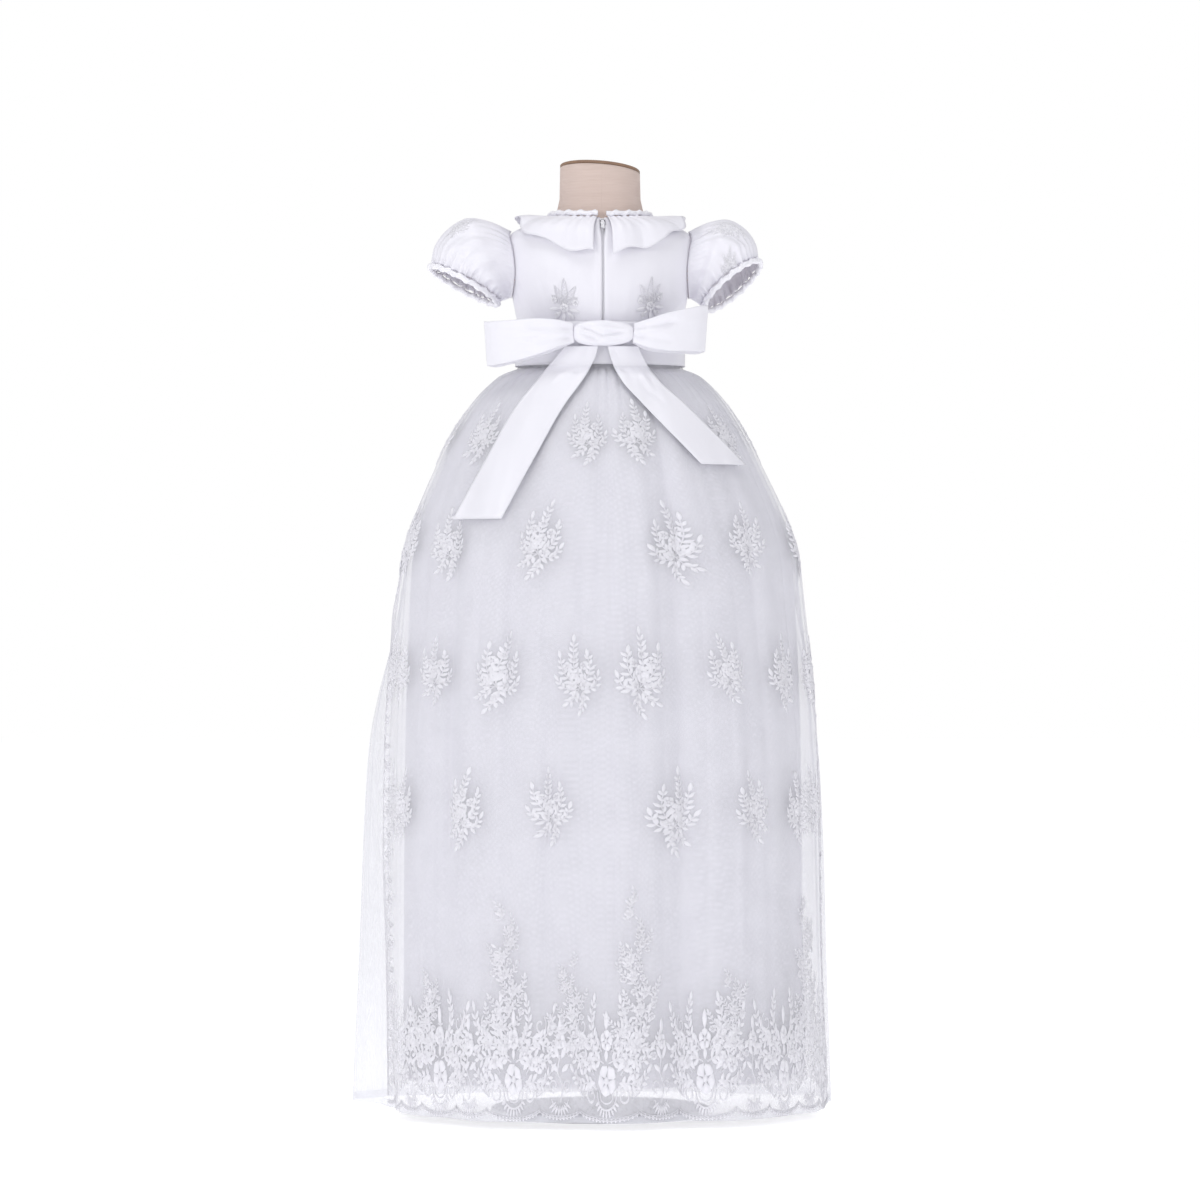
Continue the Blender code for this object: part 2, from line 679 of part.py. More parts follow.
def sleeve_grid(side, sections):
    grid = [armhole_ring(side)]
    for section in sections:
        top = Vector((side * section.top_out, 0, section.top_height))
        under = Vector((side * section.under_out, 0, section.under_height))
        middle = (top + under) / 2
        long_way = (top - under) / 2
        along = Vector((0, 1, 0)).cross(long_way).normalized() * side
        tilt = math.radians(section.face_back)
        back = Vector((0, math.cos(tilt), 0)) - along * math.sin(tilt)
        ring = []
        for place in range(SLEEVE_COLUMNS):
            angle = 2 * math.pi * place / SLEEVE_COLUMNS
            out = long_way * math.cos(angle) + back * section.half_depth * math.sin(angle)
            gather = SLEEVE_GATHER * section.gather * (1 if place % 2 else -1)
            ring.append(middle + out + out.normalized() * gather)
        grid.append(ring)
    return grid


def make_sleeve(word, side, sections, collection):
    grid = sleeve_grid(side, sections)
    if side > 0:
        grid = [ring[::-1] for ring in grid]
    cloth("sleeve_" + word, grid, SATIN, True, "satin", collection)
    last = grid[-1]
    middle = sum(last, Vector()) / len(last)
    off_cuff = (middle - sum(grid[-2], Vector()) / len(last)).normalized()
    top = Vector((side * sections[-1].top_out, 0, sections[-1].top_height))
    under = Vector((side * sections[-1].under_out, 0, sections[-1].under_height))
    tilt = math.radians(sections[-1].face_back)
    face = Vector((0, 1, 0)).cross(top - under).normalized() * side
    face = (face * math.cos(tilt) + Vector((0, 1, 0)) * math.sin(tilt)).normalized()
    if face.dot(off_cuff) < 0:
        face = -face
    points = 2 * CUFF_BRAID_RUCHES
    path, ups = [], []
    for place in range(points):
        share = place / points * SLEEVE_COLUMNS
        column = int(share) % SLEEVE_COLUMNS
        point = last[column].lerp(last[(column + 1) % SLEEVE_COLUMNS], share - int(share))
        smooth = middle + (point - middle).normalized() * ring_radius(last, middle, point)
        path.append(smooth + face * (BRAID_RADIUS + BRAID_RUCHE + LAY + SEAM))
        ups.append(face)
    braid_tube("cuff_braid_" + word, path, ups, True, CUFF_BRAID_RUCHES, collection)


def ring_radius(ring, middle, point):
    """The ring's radius towards a point, averaged over its gathers."""
    near = sorted(ring, key=lambda other: (other - point).length)[:4]
    return sum((other - middle).length for other in near) / len(near) + SATIN / 2


# Sash, skirts and bow


def make_sash(collection):
    turns = [360.0 * place / BODICE_COLUMNS for place in range(BODICE_COLUMNS)]
    grid = []
    for sash in SASH:
        body = torso_values(sash.body_height)
        ring = []
        for turn in turns:
            angle = math.radians(turn)
            ring.append(Vector((
                (body.half_width + sash.out) * math.sin(angle),
                (body.depth_back + sash.out) * math.cos(angle), sash.height)))
        grid.append(ring)
    cloth("sash_band", grid, SATIN, True, "ribbon", collection)


def fold_wave(folds, angle):
    return sum(wave.share * math.cos(wave.count * angle + wave.start) for wave in folds)


def lining_grid(step):
    """The lining's points at each column of the skirts, or at every second one."""
    grid = []
    for level in LINING:
        row = []
        for column in range(0, SKIRT_COLUMNS, step):
            angle = math.radians(column * COLUMN_TURN)
            width = level.left if math.sin(angle) >= 0 else level.right
            fold = level.fold * fold_wave(LINING_FOLDS, angle)
            row.append(Vector((
                (width + fold) * math.sin(angle), (level.depth + fold) * math.cos(angle), level.height)))
        grid.append(row)
    return grid


def side_flare(turn):
    """How much of a level's flare shows at a turn: none at the back, most just past the side."""
    away = abs((turn + 180.0) % 360.0 - 180.0)
    if away <= FLARE_START_TURN:
        return 0.0
    return math.sin(math.pi * (away - FLARE_START_TURN) / (180.0 - FLARE_START_TURN)) ** 2


def tulle_grid():
    carrier = moved_out(lining_grid(1), [SATIN + 2 * LAY] * len(LINING), True)
    grid = []
    for level, points in zip(TULLE, carrier):
        row = []
        for column, point in enumerate(points):
            turn = column * COLUMN_TURN
            angle = math.radians(turn)
            across, back = math.sin(angle), math.cos(angle)
            wide = level.left if across >= 0 else level.right
            flare = level.flare_left if across >= 0 else level.flare_right
            deep = level.back if back >= 0 else level.front
            fold = TULLE_FOLD_BASE + fold_wave(TULLE_FOLDS, angle)
            out = level.fold * fold + level.gather * (column % 2)
            fall = level.height - point.z if level is TULLE[-1] else 0.0
            row.append(point + Vector((
                (wide + out) * across + math.copysign(flare, across) * side_flare(turn),
                (deep + out) * back, fall)))
        grid.append(row)
    return grid


def grid_at(grid, row, place):
    """A point of a closed grid's row at a column that needn't be whole."""
    column = math.floor(place)
    points = grid[row]
    here = points[column % len(points)]
    after = points[(column + 1) % len(points)]
    return here.lerp(after, place - column)


def scallop_drop(place):
    """How low the scalloped edge hangs at a column, from 0 at a notch to 1."""
    place = (place + SCALLOP_SHIFT) % len(SCALLOP_REPEAT)
    column = math.floor(place)
    after = (column + 1) % len(SCALLOP_REPEAT)
    return blend(SCALLOP_REPEAT[column], SCALLOP_REPEAT[after], place - column)


def lace_grid(tulle):
    carrier = moved_out(tulle, [NET + level.gap for level in LACE], True)
    grid = []
    for row, level in enumerate(LACE):
        edge = level.edge_turn / COLUMN_TURN
        sides = [
            blend(LACE_FIXED_COLUMNS, edge, place / LACE_SIDE_COLUMNS)
            for place in range(1, LACE_SIDE_COLUMNS + 1)
        ]
        middle = list(range(-LACE_FIXED_COLUMNS, LACE_FIXED_COLUMNS + 1))
        places = [-place for place in reversed(sides)] + middle + sides
        points = [grid_at(carrier, row, place) for place in places]
        if row == len(LACE) - 1:
            points = [
                hem_point(above, point, scallop_drop(place))
                for above, point, place in zip(grid[-1], points, places)
            ]
        grid.append(points)
    return grid


def hem_point(above, below, drop):
    """The lace's edge on the line down from the row above it."""
    height = SHORTEST_SCALLOP_Z - SCALLOP_DEPTH * drop
    return above.lerp(below, (above.z - height) / (above.z - below.z))


def depth_in_row(row, side):
    """How far back a row of the lace reaches at a distance from the centre plane."""
    for here, after in zip(row, row[1:]):
        if here.x <= side <= after.x:
            return blend(here.y, after.y, (side - here.x) / (after.x - here.x))
    return row[-1].y if side > row[-1].x else row[0].y


def back_of_skirt(lace, side, height):
    """How far back the lace's outer side reaches at a place on the skirt's back."""
    middle = len(lace[0]) // 2
    rows = [row[middle - LACE_FIXED_COLUMNS:middle + LACE_FIXED_COLUMNS + 1] for row in lace]
    for high, low in zip(rows, rows[1:]):
        top, bottom = high[LACE_FIXED_COLUMNS].z, low[LACE_FIXED_COLUMNS].z
        if height >= bottom:
            share = min(max((top - height) / (top - bottom), 0.0), 1.0)
            return blend(depth_in_row(high, side), depth_in_row(low, side), share)
    return 0.0


def make_skirts(collection):
    """Makes the three skirts and returns the lace's outer points, which the bow's tails lie on."""
    layer("skirt_lining", lining_grid(2), SATIN, True, "satin", collection)
    tulle = tulle_grid()
    layer("tulle_skirt", tulle, NET, True, "tulle", collection)
    lace = lace_grid(tulle)
    layer("lace_overlay", lace, NET, False, "lace", collection)
    return moved_out(lace, [NET] * len(lace), False)


def make_loop(word, side, stations, collection):
    lean = math.radians(LOOP_LEAN[word])
    grid = []
    for share in (1.0, 0.0, -1.0):
        row = []
        for station in stations:
            reach = station.half_width * share
            row.append(Vector((
                side * station.out + reach * math.sin(lean), station.back,
                station.height + reach * math.cos(lean))))
        grid.append(row)
    if side > 0:
        grid = grid[::-1]
    cloth("bow_loop_" + word, grid, SATIN, False, "ribbon", collection)


def with_halfway(stations):
    """The stations with one more halfway between each two."""
    more = [stations[0]]
    for here, after in zip(stations, stations[1:]):
        more += [TailStation(*(blend(a, b, 0.5) for a, b in zip(here, after))), after]
    return more


def make_tail(word, stations, lace, collection):
    grid = []
    for station in with_halfway(stations):
        row = []
        for place in range(TAIL_COLUMNS):
            share = 2.0 * place / (TAIL_COLUMNS - 1) - 1.0
            side = station.side + station.half_width * share
            stand = station.stand * (1 + (side / TAIL_STEEP_SIDE) ** 2)
            back = back_of_skirt(lace, side, station.height) + stand
            row.append(Vector((side, back, station.height)))
        grid.append(row)
    cloth("bow_tail_" + word, grid, SATIN, False, "ribbon", collection)


def make_knot(collection):
    rings = []
    for ring in KNOT:
        angles = [2 * math.pi * place / KNOT_SIDES for place in range(KNOT_SIDES)]
        rings.append([
            Vector((ring.out, KNOT_BACK + ring.half_depth * math.cos(angle),
                    KNOT_Z + ring.half_height * math.sin(angle)))
            for angle in angles
        ])
    capped_solid("bow_knot", rings, "ribbon", collection)


# Zip slider and pull tab


def box_in(bm, size, middle, frame):
    """Adds a box in the slider's own frame: across, down the back and out from it."""
    placed = frame @ Matrix.Translation(middle) @ Matrix.Diagonal((*size, 1.0))
    bmesh.ops.create_cube(bm, size=1.0, matrix=placed)


def cylinder_in(bm, radius, length, middle, frame):
    placed = frame @ Matrix.Translation(middle) @ Matrix.Rotation(math.pi / 2, 4, "Y")
    bmesh.ops.create_cone(
        bm, cap_ends=True, segments=ZIP_PART_SIDES, radius1=radius, radius2=radius, depth=length,
        matrix=placed)


def solid_of(name, fill, finish, collection, origin=None):
    bm = bmesh.new()
    fill(bm)
    mesh = mesh_from(name, bm)
    made = bpy.data.objects.new(name, mesh)
    collection.objects.link(made)
    mesh.materials.append(finish_of(finish))
    if origin is not None:
        mesh.transform(Matrix.Translation(-origin))
        made.location = origin
    return made


def join_by(made, other, operation):
    step = made.modifiers.new(operation.lower(), "BOOLEAN")
    step.operation = operation
    step.object = other
    other.hide_render = True
    other.display_type = "WIRE"


def zip_frame(step=0.0020):
    """The slider's frame on the centre back: X across, Y down the back, Z out."""
    height = height_below_neck(SLIDER_BELOW_NECK, 0.0)
    out = torso_normal(height, 0.0)
    down = (torso_skin(height - step, 0.0) - torso_skin(height + step, 0.0)).normalized()
    across = down.cross(out).normalized()
    start = on_torso(height, 0.0, torso_values(height).ease + SATIN + SEAM)
    frame = Matrix((across, down, out)).transposed().to_4x4()
    frame.translation = start
    return frame


def make_zip_slider(collection, cutters):
    frame = zip_frame()
    thickness = SLIDER_SIZE[2]
    pin_out = thickness + PIN_OUT
    lug_side = LUG_GAP / 2 + LUG_SIZE[0] / 2

    def body(bm):
        box_in(bm, SLIDER_SIZE, (0, 0, thickness / 2), frame)

    slider = solid_of("zip_slider", body, "zip_metal", collection)
    bevel = slider.modifiers.new("edge", "BEVEL")
    bevel.width = SLIDER_BEVEL
    bevel.segments = 1
    for side in (-1, 1):
        def lug(bm, side=side):
            box_in(bm, LUG_SIZE, (side * lug_side, 0, thickness + LUG_SIZE[2] / 2 - LUG_SINK), frame)
        join_by(slider, solid_of(f"slider_lug_{side + 1}", lug, "zip_metal", cutters), "UNION")

    def pin(bm):
        cylinder_in(bm, PIN_RADIUS, LUG_GAP + LUG_SIZE[0], (0, 0, pin_out), frame)

    join_by(slider, solid_of("slider_pin", pin, "zip_metal", cutters), "UNION")

    hinge = frame @ Vector((0, 0, pin_out))

    def eye(bm):
        cylinder_in(bm, TAB_EYE_RADIUS, TAB_EYE_WIDTH, (0, 0, pin_out), frame)

    def blade(bm):
        start, end = TAB_BLADE_SPAN
        box_in(bm, (TAB_EYE_WIDTH, end - start, TAB_THICKNESS), (0, (start + end) / 2, pin_out), frame)

    def plate(bm):
        start, end = TAB_PLATE_SPAN
        box_in(bm, (TAB_WIDTH, end - start, TAB_THICKNESS), (0, (start + end) / 2, pin_out), frame)

    def hole(bm):
        cylinder_in(bm, TAB_HOLE_RADIUS, TAB_EYE_WIDTH * 2, (0, 0, pin_out), frame)

    tab = solid_of("zip_pull", eye, "zip_metal", collection, origin=hinge)
    join_by(tab, solid_of("pull_blade", blade, "zip_metal", cutters), "UNION")
    join_by(tab, solid_of("pull_plate", plate, "zip_metal", cutters), "UNION")
    join_by(tab, solid_of("pull_hole", hole, "zip_metal", cutters), "DIFFERENCE")


def main():
    clear_scene()
    gown = new_collection("christening_gown")
    cutters = new_collection("cutters")
    make_form(gown)
    make_stand(gown)
    make_bodice(make_armhole_cutters(cutters), gown)
    make_collar(gown)
    make_neck_braid(gown)
    make_sleeve("left", 1, LEFT_SLEEVE, gown)
    make_sleeve("right", -1, RIGHT_SLEEVE, gown)
    make_zip_slider(gown, cutters)
    lace = make_skirts(gown)
    make_sash(gown)
    make_knot(gown)
    make_loop("left", 1, LEFT_LOOP, gown)
    make_loop("right", -1, RIGHT_LOOP, gown)
    make_tail("left", LEFT_TAIL, lace, gown)
    make_tail("right", RIGHT_TAIL, lace, gown)


main()
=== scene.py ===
"""Looks of a long white christening gown on a dress form: satin, tulle, embroidered lace, ribbon."""

import math
import random

import bmesh
import bpy
import numpy as np
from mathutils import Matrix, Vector


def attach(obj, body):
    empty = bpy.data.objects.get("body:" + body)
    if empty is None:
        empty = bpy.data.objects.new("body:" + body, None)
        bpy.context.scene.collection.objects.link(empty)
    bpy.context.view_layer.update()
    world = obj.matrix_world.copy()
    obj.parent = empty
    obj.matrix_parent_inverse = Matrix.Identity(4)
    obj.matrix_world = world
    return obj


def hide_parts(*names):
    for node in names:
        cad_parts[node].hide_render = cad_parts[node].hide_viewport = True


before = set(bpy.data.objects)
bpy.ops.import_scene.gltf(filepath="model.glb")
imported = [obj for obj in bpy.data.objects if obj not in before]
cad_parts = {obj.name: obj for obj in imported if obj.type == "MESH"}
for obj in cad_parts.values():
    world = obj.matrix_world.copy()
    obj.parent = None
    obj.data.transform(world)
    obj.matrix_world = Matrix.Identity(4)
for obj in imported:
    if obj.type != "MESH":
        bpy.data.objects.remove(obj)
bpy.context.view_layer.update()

# Cloth
SATIN = 0.0012
NET = 0.0010
SEAM = 0.0003
LAY = 0.0005
SHELL = 0.0005

# Heights and turns, shared with the solids. A turn is in degrees: 0 at the centre back, 90 left.
NECKLINE_Z = 0.8225
NECK_DROP_FRONT = 0.0140
NECK_DROP_BACK = 0.0040
WAIST_Z = 0.7059
SASH = [(0.7246, 0.7246, 0.0025), (0.7100, 0.7100, 0.0068), (0.6858, 0.7010, 0.0068)]
COLLAR_DEPTH = 0.0280
COLLAR_HALF_SPLIT = 0.0044
COLLAR_WAVES = 13
COLLAR_WAVE = 0.0022
COLLAR_BACK_LENGTH = 0.36
NECK_BRAID_HALF_SPLIT = 0.0048
NECK_BRAID_CLEAR = 0.0015
BRAID_RADIUS = 0.00275
SIDE_SEAM_TURN = 95.0
ZIP_HALF_WIDTH = 0.0014
ARMHOLE_Z = 0.7790
ARMHOLE_HALF_HEIGHT = 0.0278
ARMHOLE_HALF_DEPTH = 0.0235
SLEEVE_LAP = 0.0022
SPRAY_LIFT = 0.0006
ZIP_LIP = 0.0008
ZIP_TAPE_OUT = 0.0006
ZIP_TOOTH_PITCH = 0.0011
SLEEVE_SET_IN = 0.0010
NECK_TOP_Z = 0.8650
NECK_RADIUS = 0.0366
NECK_TILT_BACK = 0.0045
NECK_TILT_SIDE = 0.0030
CAP_THICKNESS = 0.0030

# height, half width, depth at the back, depth in front, pull of the neckline, ease
TORSO = np.array([
    (0.6000, 0.0860, 0.0740, 0.0740, 0.00, 0.0010),
    (0.6450, 0.0810, 0.0695, 0.0695, 0.00, 0.0010),
    (0.6660, 0.0735, 0.0635, 0.0635, 0.00, 0.0010),
    (0.6810, 0.0700, 0.0605, 0.0605, 0.00, 0.0007),
    (0.7096, 0.0700, 0.0605, 0.0605, 0.00, 0.0007),
    (0.7246, 0.0734, 0.0632, 0.0632, 0.00, 0.0008),
    (0.7500, 0.0780, 0.0652, 0.0662, 0.00, 0.0012),
    (0.7720, 0.0818, 0.0645, 0.0675, 0.00, 0.0012),
    (0.7880, 0.0836, 0.0620, 0.0665, 0.05, 0.0012),
    (0.8000, 0.0832, 0.0588, 0.0635, 0.15, 0.0010),
    (0.8080, 0.0798, 0.0558, 0.0595, 0.35, 0.0007),
    (0.8145, 0.0700, 0.0522, 0.0545, 0.65, 0.0005),
    (0.8190, 0.0570, 0.0488, 0.0490, 0.90, 0.0005),
    (0.8225, 0.0458, 0.0447, 0.0432, 1.00, 0.0005),
    (0.8290, 0.0405, 0.0400, 0.0400, 0.70, 0.0005),
    (0.8400, 0.0372, 0.0370, 0.0370, 0.20, 0.0005),
])
# height, left, right, depth, fold, from the hem up
LINING = np.array([
    (0.0065, 0.1800, 0.1840, 0.1450, 0.0028),
    (0.0360, 0.1800, 0.1840, 0.1450, 0.0028),
    (0.1300, 0.1795, 0.1830, 0.1440, 0.0024),
    (0.3300, 0.1780, 0.1815, 0.1410, 0.0018),
    (0.5000, 0.1710, 0.1740, 0.1340, 0.0012),
    (0.6000, 0.1400, 0.1375, 0.1155, 0.0008),
    (0.6500, 0.1115, 0.1100, 0.0925, 0.0004),
    (0.6720, 0.0900, 0.0895, 0.0752, 0.0002),
    (0.6828, 0.0707, 0.0707, 0.0612, 0.0000),
    (0.7053, 0.0707, 0.0707, 0.0612, 0.0000),
])
# height, left, right, back, front, flare left, flare right, fold, from the hem up
TULLE = np.array([
    (0.0065, 0.0006, 0.0136, 0.0090, 0.0145, 0.074, 0.050, 0.0028),
    (0.1300, 0.0018, 0.0110, 0.0086, 0.0130, 0.067, 0.050, 0.0022),
    (0.3300, 0.0022, 0.0080, 0.0078, 0.0104, 0.058, 0.044, 0.0016),
    (0.5000, 0.0018, 0.0010, 0.0036, 0.0050, 0.018, 0.010, 0.0010),
    (0.6000, 0.0020, 0.0020, 0.0020, 0.0024, 0.000, 0.000, 0.0005),
    (0.6500, 0.0008, 0.0008, 0.0008, 0.0008, 0.000, 0.000, 0.0002),
    (0.6720, 0.0004, 0.0004, 0.0004, 0.0004, 0.000, 0.000, 0.0000),
    (0.6828, 0.0002, 0.0002, 0.0002, 0.0002, 0.000, 0.000, 0.0000),
    (0.7053, 0.0002, 0.0002, 0.0002, 0.0002, 0.000, 0.000, 0.0000),
])
# height, gap over the tulle, turn of the open edge, from the hem up
LACE = np.array([
    (0.0065, 0.0016, 93.75),
    (0.1300, 0.0018, 95.63),
    (0.3300, 0.0036, 101.25),
    (0.5000, 0.0034, 110.63),
    (0.6000, 0.0020, 120.00),
    (0.6500, 0.0014, 127.50),
    (0.6720, 0.0007, 131.25),
    (0.6828, 0.0006, 131.25),
    (0.7053, 0.0005, 131.25),
])


# Curves and grids


def gentle_curve(knots, values):
    """A smooth curve through a table's column that never swings past its values."""
    knots, values = np.asarray(knots, float), np.asarray(values, float)
    gaps = np.diff(knots)
    slopes = np.diff(values) / gaps
    tangents = np.zeros(len(knots))
    same = slopes[:-1] * slopes[1:] > 0
    both = np.where(same, slopes[:-1] + slopes[1:], 1.0)
    tangents[1:-1] = np.where(same, 2 * slopes[:-1] * slopes[1:] / both, 0.0)
    tangents[0], tangents[-1] = slopes[0], slopes[-1]

    def at(x):
        x = np.clip(x, knots[0], knots[-1])
        place = np.clip(np.searchsorted(knots, x, side="right") - 1, 0, len(gaps) - 1)
        gap = gaps[place]
        t = (x - knots[place]) / gap
        return (
            values[place] * (2 * t ** 3 - 3 * t ** 2 + 1)
            + values[place + 1] * (3 * t ** 2 - 2 * t ** 3)
            + tangents[place] * gap * (t ** 3 - 2 * t ** 2 + t)
            + tangents[place + 1] * gap * (t ** 3 - t ** 2)
        )
    return at


def curves_of(table):
    return [gentle_curve(table[:, 0], table[:, column]) for column in range(1, table.shape[1])]


def finer(points, steps, closed=False):
    """Rows of points with more rows between them, on smooth curves through them all."""
    points = np.asarray(points, float)
    if closed:
        points = np.concatenate([points[-1:], points, points[:2]])
    else:
        first, last = 2 * points[0] - points[1], 2 * points[-1] - points[-2]
        points = np.concatenate([[first], points, [last]])
    gaps = np.sqrt(((points[1:] - points[:-1]) ** 2).sum(-1))
    gaps = gaps.reshape(len(gaps), -1).mean(1) + 1e-9
    rows = []
    for place in range(1, len(points) - 2):
        before, here, after = gaps[place - 1], gaps[place], gaps[place + 1]
        p0, p1, p2, p3 = points[place - 1:place + 3]
        m1 = ((p1 - p0) / before * here + (p2 - p1) / here * before) / (before + here) * here
        m2 = ((p2 - p1) / here * after + (p3 - p2) / after * here) / (here + after) * here
        for step in range(steps):
            t = step / steps
            rows.append(
                p1 * (2 * t ** 3 - 3 * t ** 2 + 1) + p2 * (3 * t ** 2 - 2 * t ** 3)
                + m1 * (t ** 3 - 2 * t ** 2 + t) + m2 * (t ** 3 - t ** 2))
    if not closed:
        rows.append(points[-2])
    return np.array(rows)


def finer_grid(grid, row_steps, column_steps, around=False):
    rows = finer(grid, row_steps)
    return finer(rows.swapaxes(0, 1), column_steps, around).swapaxes(0, 1)


def outward(grid, around):
    """The outward direction at each point of a grid whose rows run down and columns to the left."""
    if around:
        across = np.roll(grid, -1, 1) - np.roll(grid, 1, 1)
    else:
        across = np.gradient(grid, axis=1)
    down = np.gradient(grid, axis=0)
    normal = np.cross(across, down)
    return normal / (np.linalg.norm(normal, axis=-1, keepdims=True) + 1e-12)


def creased(grid, creases, around=False):
    """Presses soft troughs, or raises ridges, along lines given by their ends, width and depth."""
    moved = np.zeros(grid.shape[:2])
    for start, end, width, depth in creases:
        start, end = np.array(start, float), np.array(end, float)
        along = end - start
        share = np.clip(((grid - start) @ along) / (along @ along), 0.0, 1.0)
        away = np.linalg.norm(grid - (start + share[..., None] * along), axis=-1)
        moved += depth * np.exp(-(away / width) ** 2) * np.sin(math.pi * (0.12 + 0.80 * share)) ** 0.8
    return grid + outward(grid, around) * moved[..., None]


def lengths_down(grid):
    """How far down the cloth each row lies, averaged over the columns."""
    steps = np.linalg.norm(np.diff(grid, axis=0), axis=-1).mean(1)
    return np.concatenate([[0.0], np.cumsum(steps)])


def lengths_across(grid, around):
    closed = np.concatenate([grid, grid[:, :1]], 1) if around else grid
    steps = np.linalg.norm(np.diff(closed, axis=1), axis=-1).mean(0)
    return np.concatenate([[0.0], np.cumsum(steps)])


def mesh_from(name, points, faces, uvs):
    mesh = bpy.data.meshes.new(name)
    mesh.from_pydata(points, [], faces)
    layer = mesh.uv_layers.new(name="cloth")
    layer.data.foreach_set("uv", np.asarray(uvs, np.float32).ravel())
    mesh.shade_smooth()
    return mesh


def add_piece(name, mesh, material, body="gown", replaces=()):
    made = bpy.data.objects.new(name, mesh)
    bpy.context.scene.collection.objects.link(made)
    mesh.materials.append(material)
    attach(made, body)
    if replaces:
        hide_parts(*replaces)
    return made


def grid_mesh(name, grid, around=False, width=None, keep=None):
    """A mesh of quads through a grid, with its cloth lengths in metres as UV."""
    rows, columns = grid.shape[:2]
    cells = columns if around else columns - 1
    row, column = np.meshgrid(np.arange(rows - 1), np.arange(cells), indexing="ij")
    row, column = row.ravel(), column.ravel()
    if keep is not None:
        kept = keep(grid)[row, column]
        row, column = row[kept], column[kept]
    after = (column + 1) % columns
    faces = np.stack([
        row * columns + column, row * columns + after,
        (row + 1) * columns + after, (row + 1) * columns + column], 1)
    across = lengths_across(grid, around)
    if width:
        across = across * (width / across[-1])
    down = lengths_down(grid)
    u = np.stack([across[column], across[column + 1], across[column + 1], across[column]], 1)
    v = -np.stack([down[row], down[row], down[row + 1], down[row + 1]], 1)
    mesh = mesh_from(name, grid.reshape(-1, 3), faces, np.stack([u, v], -1).reshape(-1, 2))
    if keep is not None:
        drop_loose(mesh)
    return mesh


def drop_loose(mesh):
    """Removes points that no face uses."""
    bm = bmesh.new()
    bm.from_mesh(mesh)
    for vert in [vert for vert in bm.verts if not vert.link_faces]:
        bm.verts.remove(vert)
    bm.to_mesh(mesh)
    bm.free()


def cloth_piece(name, grid, material, replaces, around=False, thickness=SHELL, keep=None, width=None):
    made = add_piece(name, grid_mesh(name, grid, around, width, keep), material, replaces=replaces)
    if thickness:
        wall = made.modifiers.new("wall", "SOLIDIFY")
        wall.thickness = thickness
        wall.offset = -1.0
        wall.use_even_offset = False
    return made


# Shaders


class Wire:
    """A shader socket that takes part in sums."""

    def __init__(self, shader, socket):
        self.shader, self.socket = shader, socket

    def maths(self, operation, *others):
        return self.shader.node("ShaderNodeMath", {"operation": operation}, [self, *others])

    def __add__(self, other):
        return self.maths("ADD", other)

    __radd__ = __add__

    def __mul__(self, other):
        return self.maths("MULTIPLY", other)

    __rmul__ = __mul__

    def __sub__(self, other):
        return self.maths("SUBTRACT", other)

    def __rsub__(self, other):
        return self.shader.node("ShaderNodeMath", {"operation": "SUBTRACT"}, [other, self])

    def __truediv__(self, other):
        return self.maths("DIVIDE", other)

    def __pow__(self, other):
        return self.maths("POWER", other)


class Shader:
    """A material that is built up from nodes and ends in one Principled shader."""

    def __init__(self, name, **constants):
        self.material = bpy.data.materials.new(name)
        self.material.use_nodes = True
        self.tree = self.material.node_tree
        self.surface = self.tree.nodes["Principled BSDF"]
        for socket, value in constants.items():
            self.surface.inputs[socket.replace("_", " ").title()].default_value = value

    def node(self, kind, settings, inputs, output=0):
        """Adds a node: its settings first, then the values or wires of its sockets."""
        made = self.tree.nodes.new(kind)
        for name, value in settings.items():
            if name == "stops":
                ramp = made.color_ramp
                while len(ramp.elements) < len(value):
                    ramp.elements.new(0.5)
                for stop, (place, colour) in zip(ramp.elements, value):
                    stop.position = place
                    stop.color = (*colour, 1.0)
            else:
                setattr(made, name, value)
        pairs = inputs.items() if isinstance(inputs, dict) else enumerate(inputs)
        for key, value in pairs:
            if isinstance(value, Wire):
                self.tree.links.new(value.socket, made.inputs[key])
            else:
                made.inputs[key].default_value = value
        return Wire(self, made.outputs[output])

    def feed(self, socket, wire):
        self.tree.links.new(wire.socket, self.surface.inputs[socket])

    def cloth_uv(self):
        spot = self.node("ShaderNodeUVMap", {"uv_map": "cloth"}, [])
        parts = self.tree.nodes.new("ShaderNodeSeparateXYZ")
        self.tree.links.new(spot.socket, parts.inputs[0])
        return Wire(self, parts.outputs[0]), Wire(self, parts.outputs[1])

    def place(self):
        """The point in the row frame, in metres."""
        return self.node("ShaderNodeTexCoord", {}, [], output="Object")

    def noise(self, scale, detail=3.0, vector=None, roughness=0.5):
        inputs = {"Scale": scale, "Detail": detail, "Roughness": roughness}
        inputs["Vector"] = vector or self.place()
        return self.node("ShaderNodeTexNoise", {}, inputs)

    def bump(self, height, distance, strength=1.0):
        bump = self.node("ShaderNodeBump", {}, {"Height": height, "Distance": distance, "Strength": strength})
        self.feed("Normal", bump)

    def tint(self, share, low, high):
        colour = self.node(
            "ShaderNodeMix", {"data_type": "RGBA"},
            {0: share, 6: (*low, 1.0), 7: (*high, 1.0)}, output=2)
        self.feed("Base Color", colour)


def wave(length, pitch):
    """A cosine along a cloth length, from -1 to 1."""
    return (length * (2 * math.pi / pitch)).maths("COSINE")


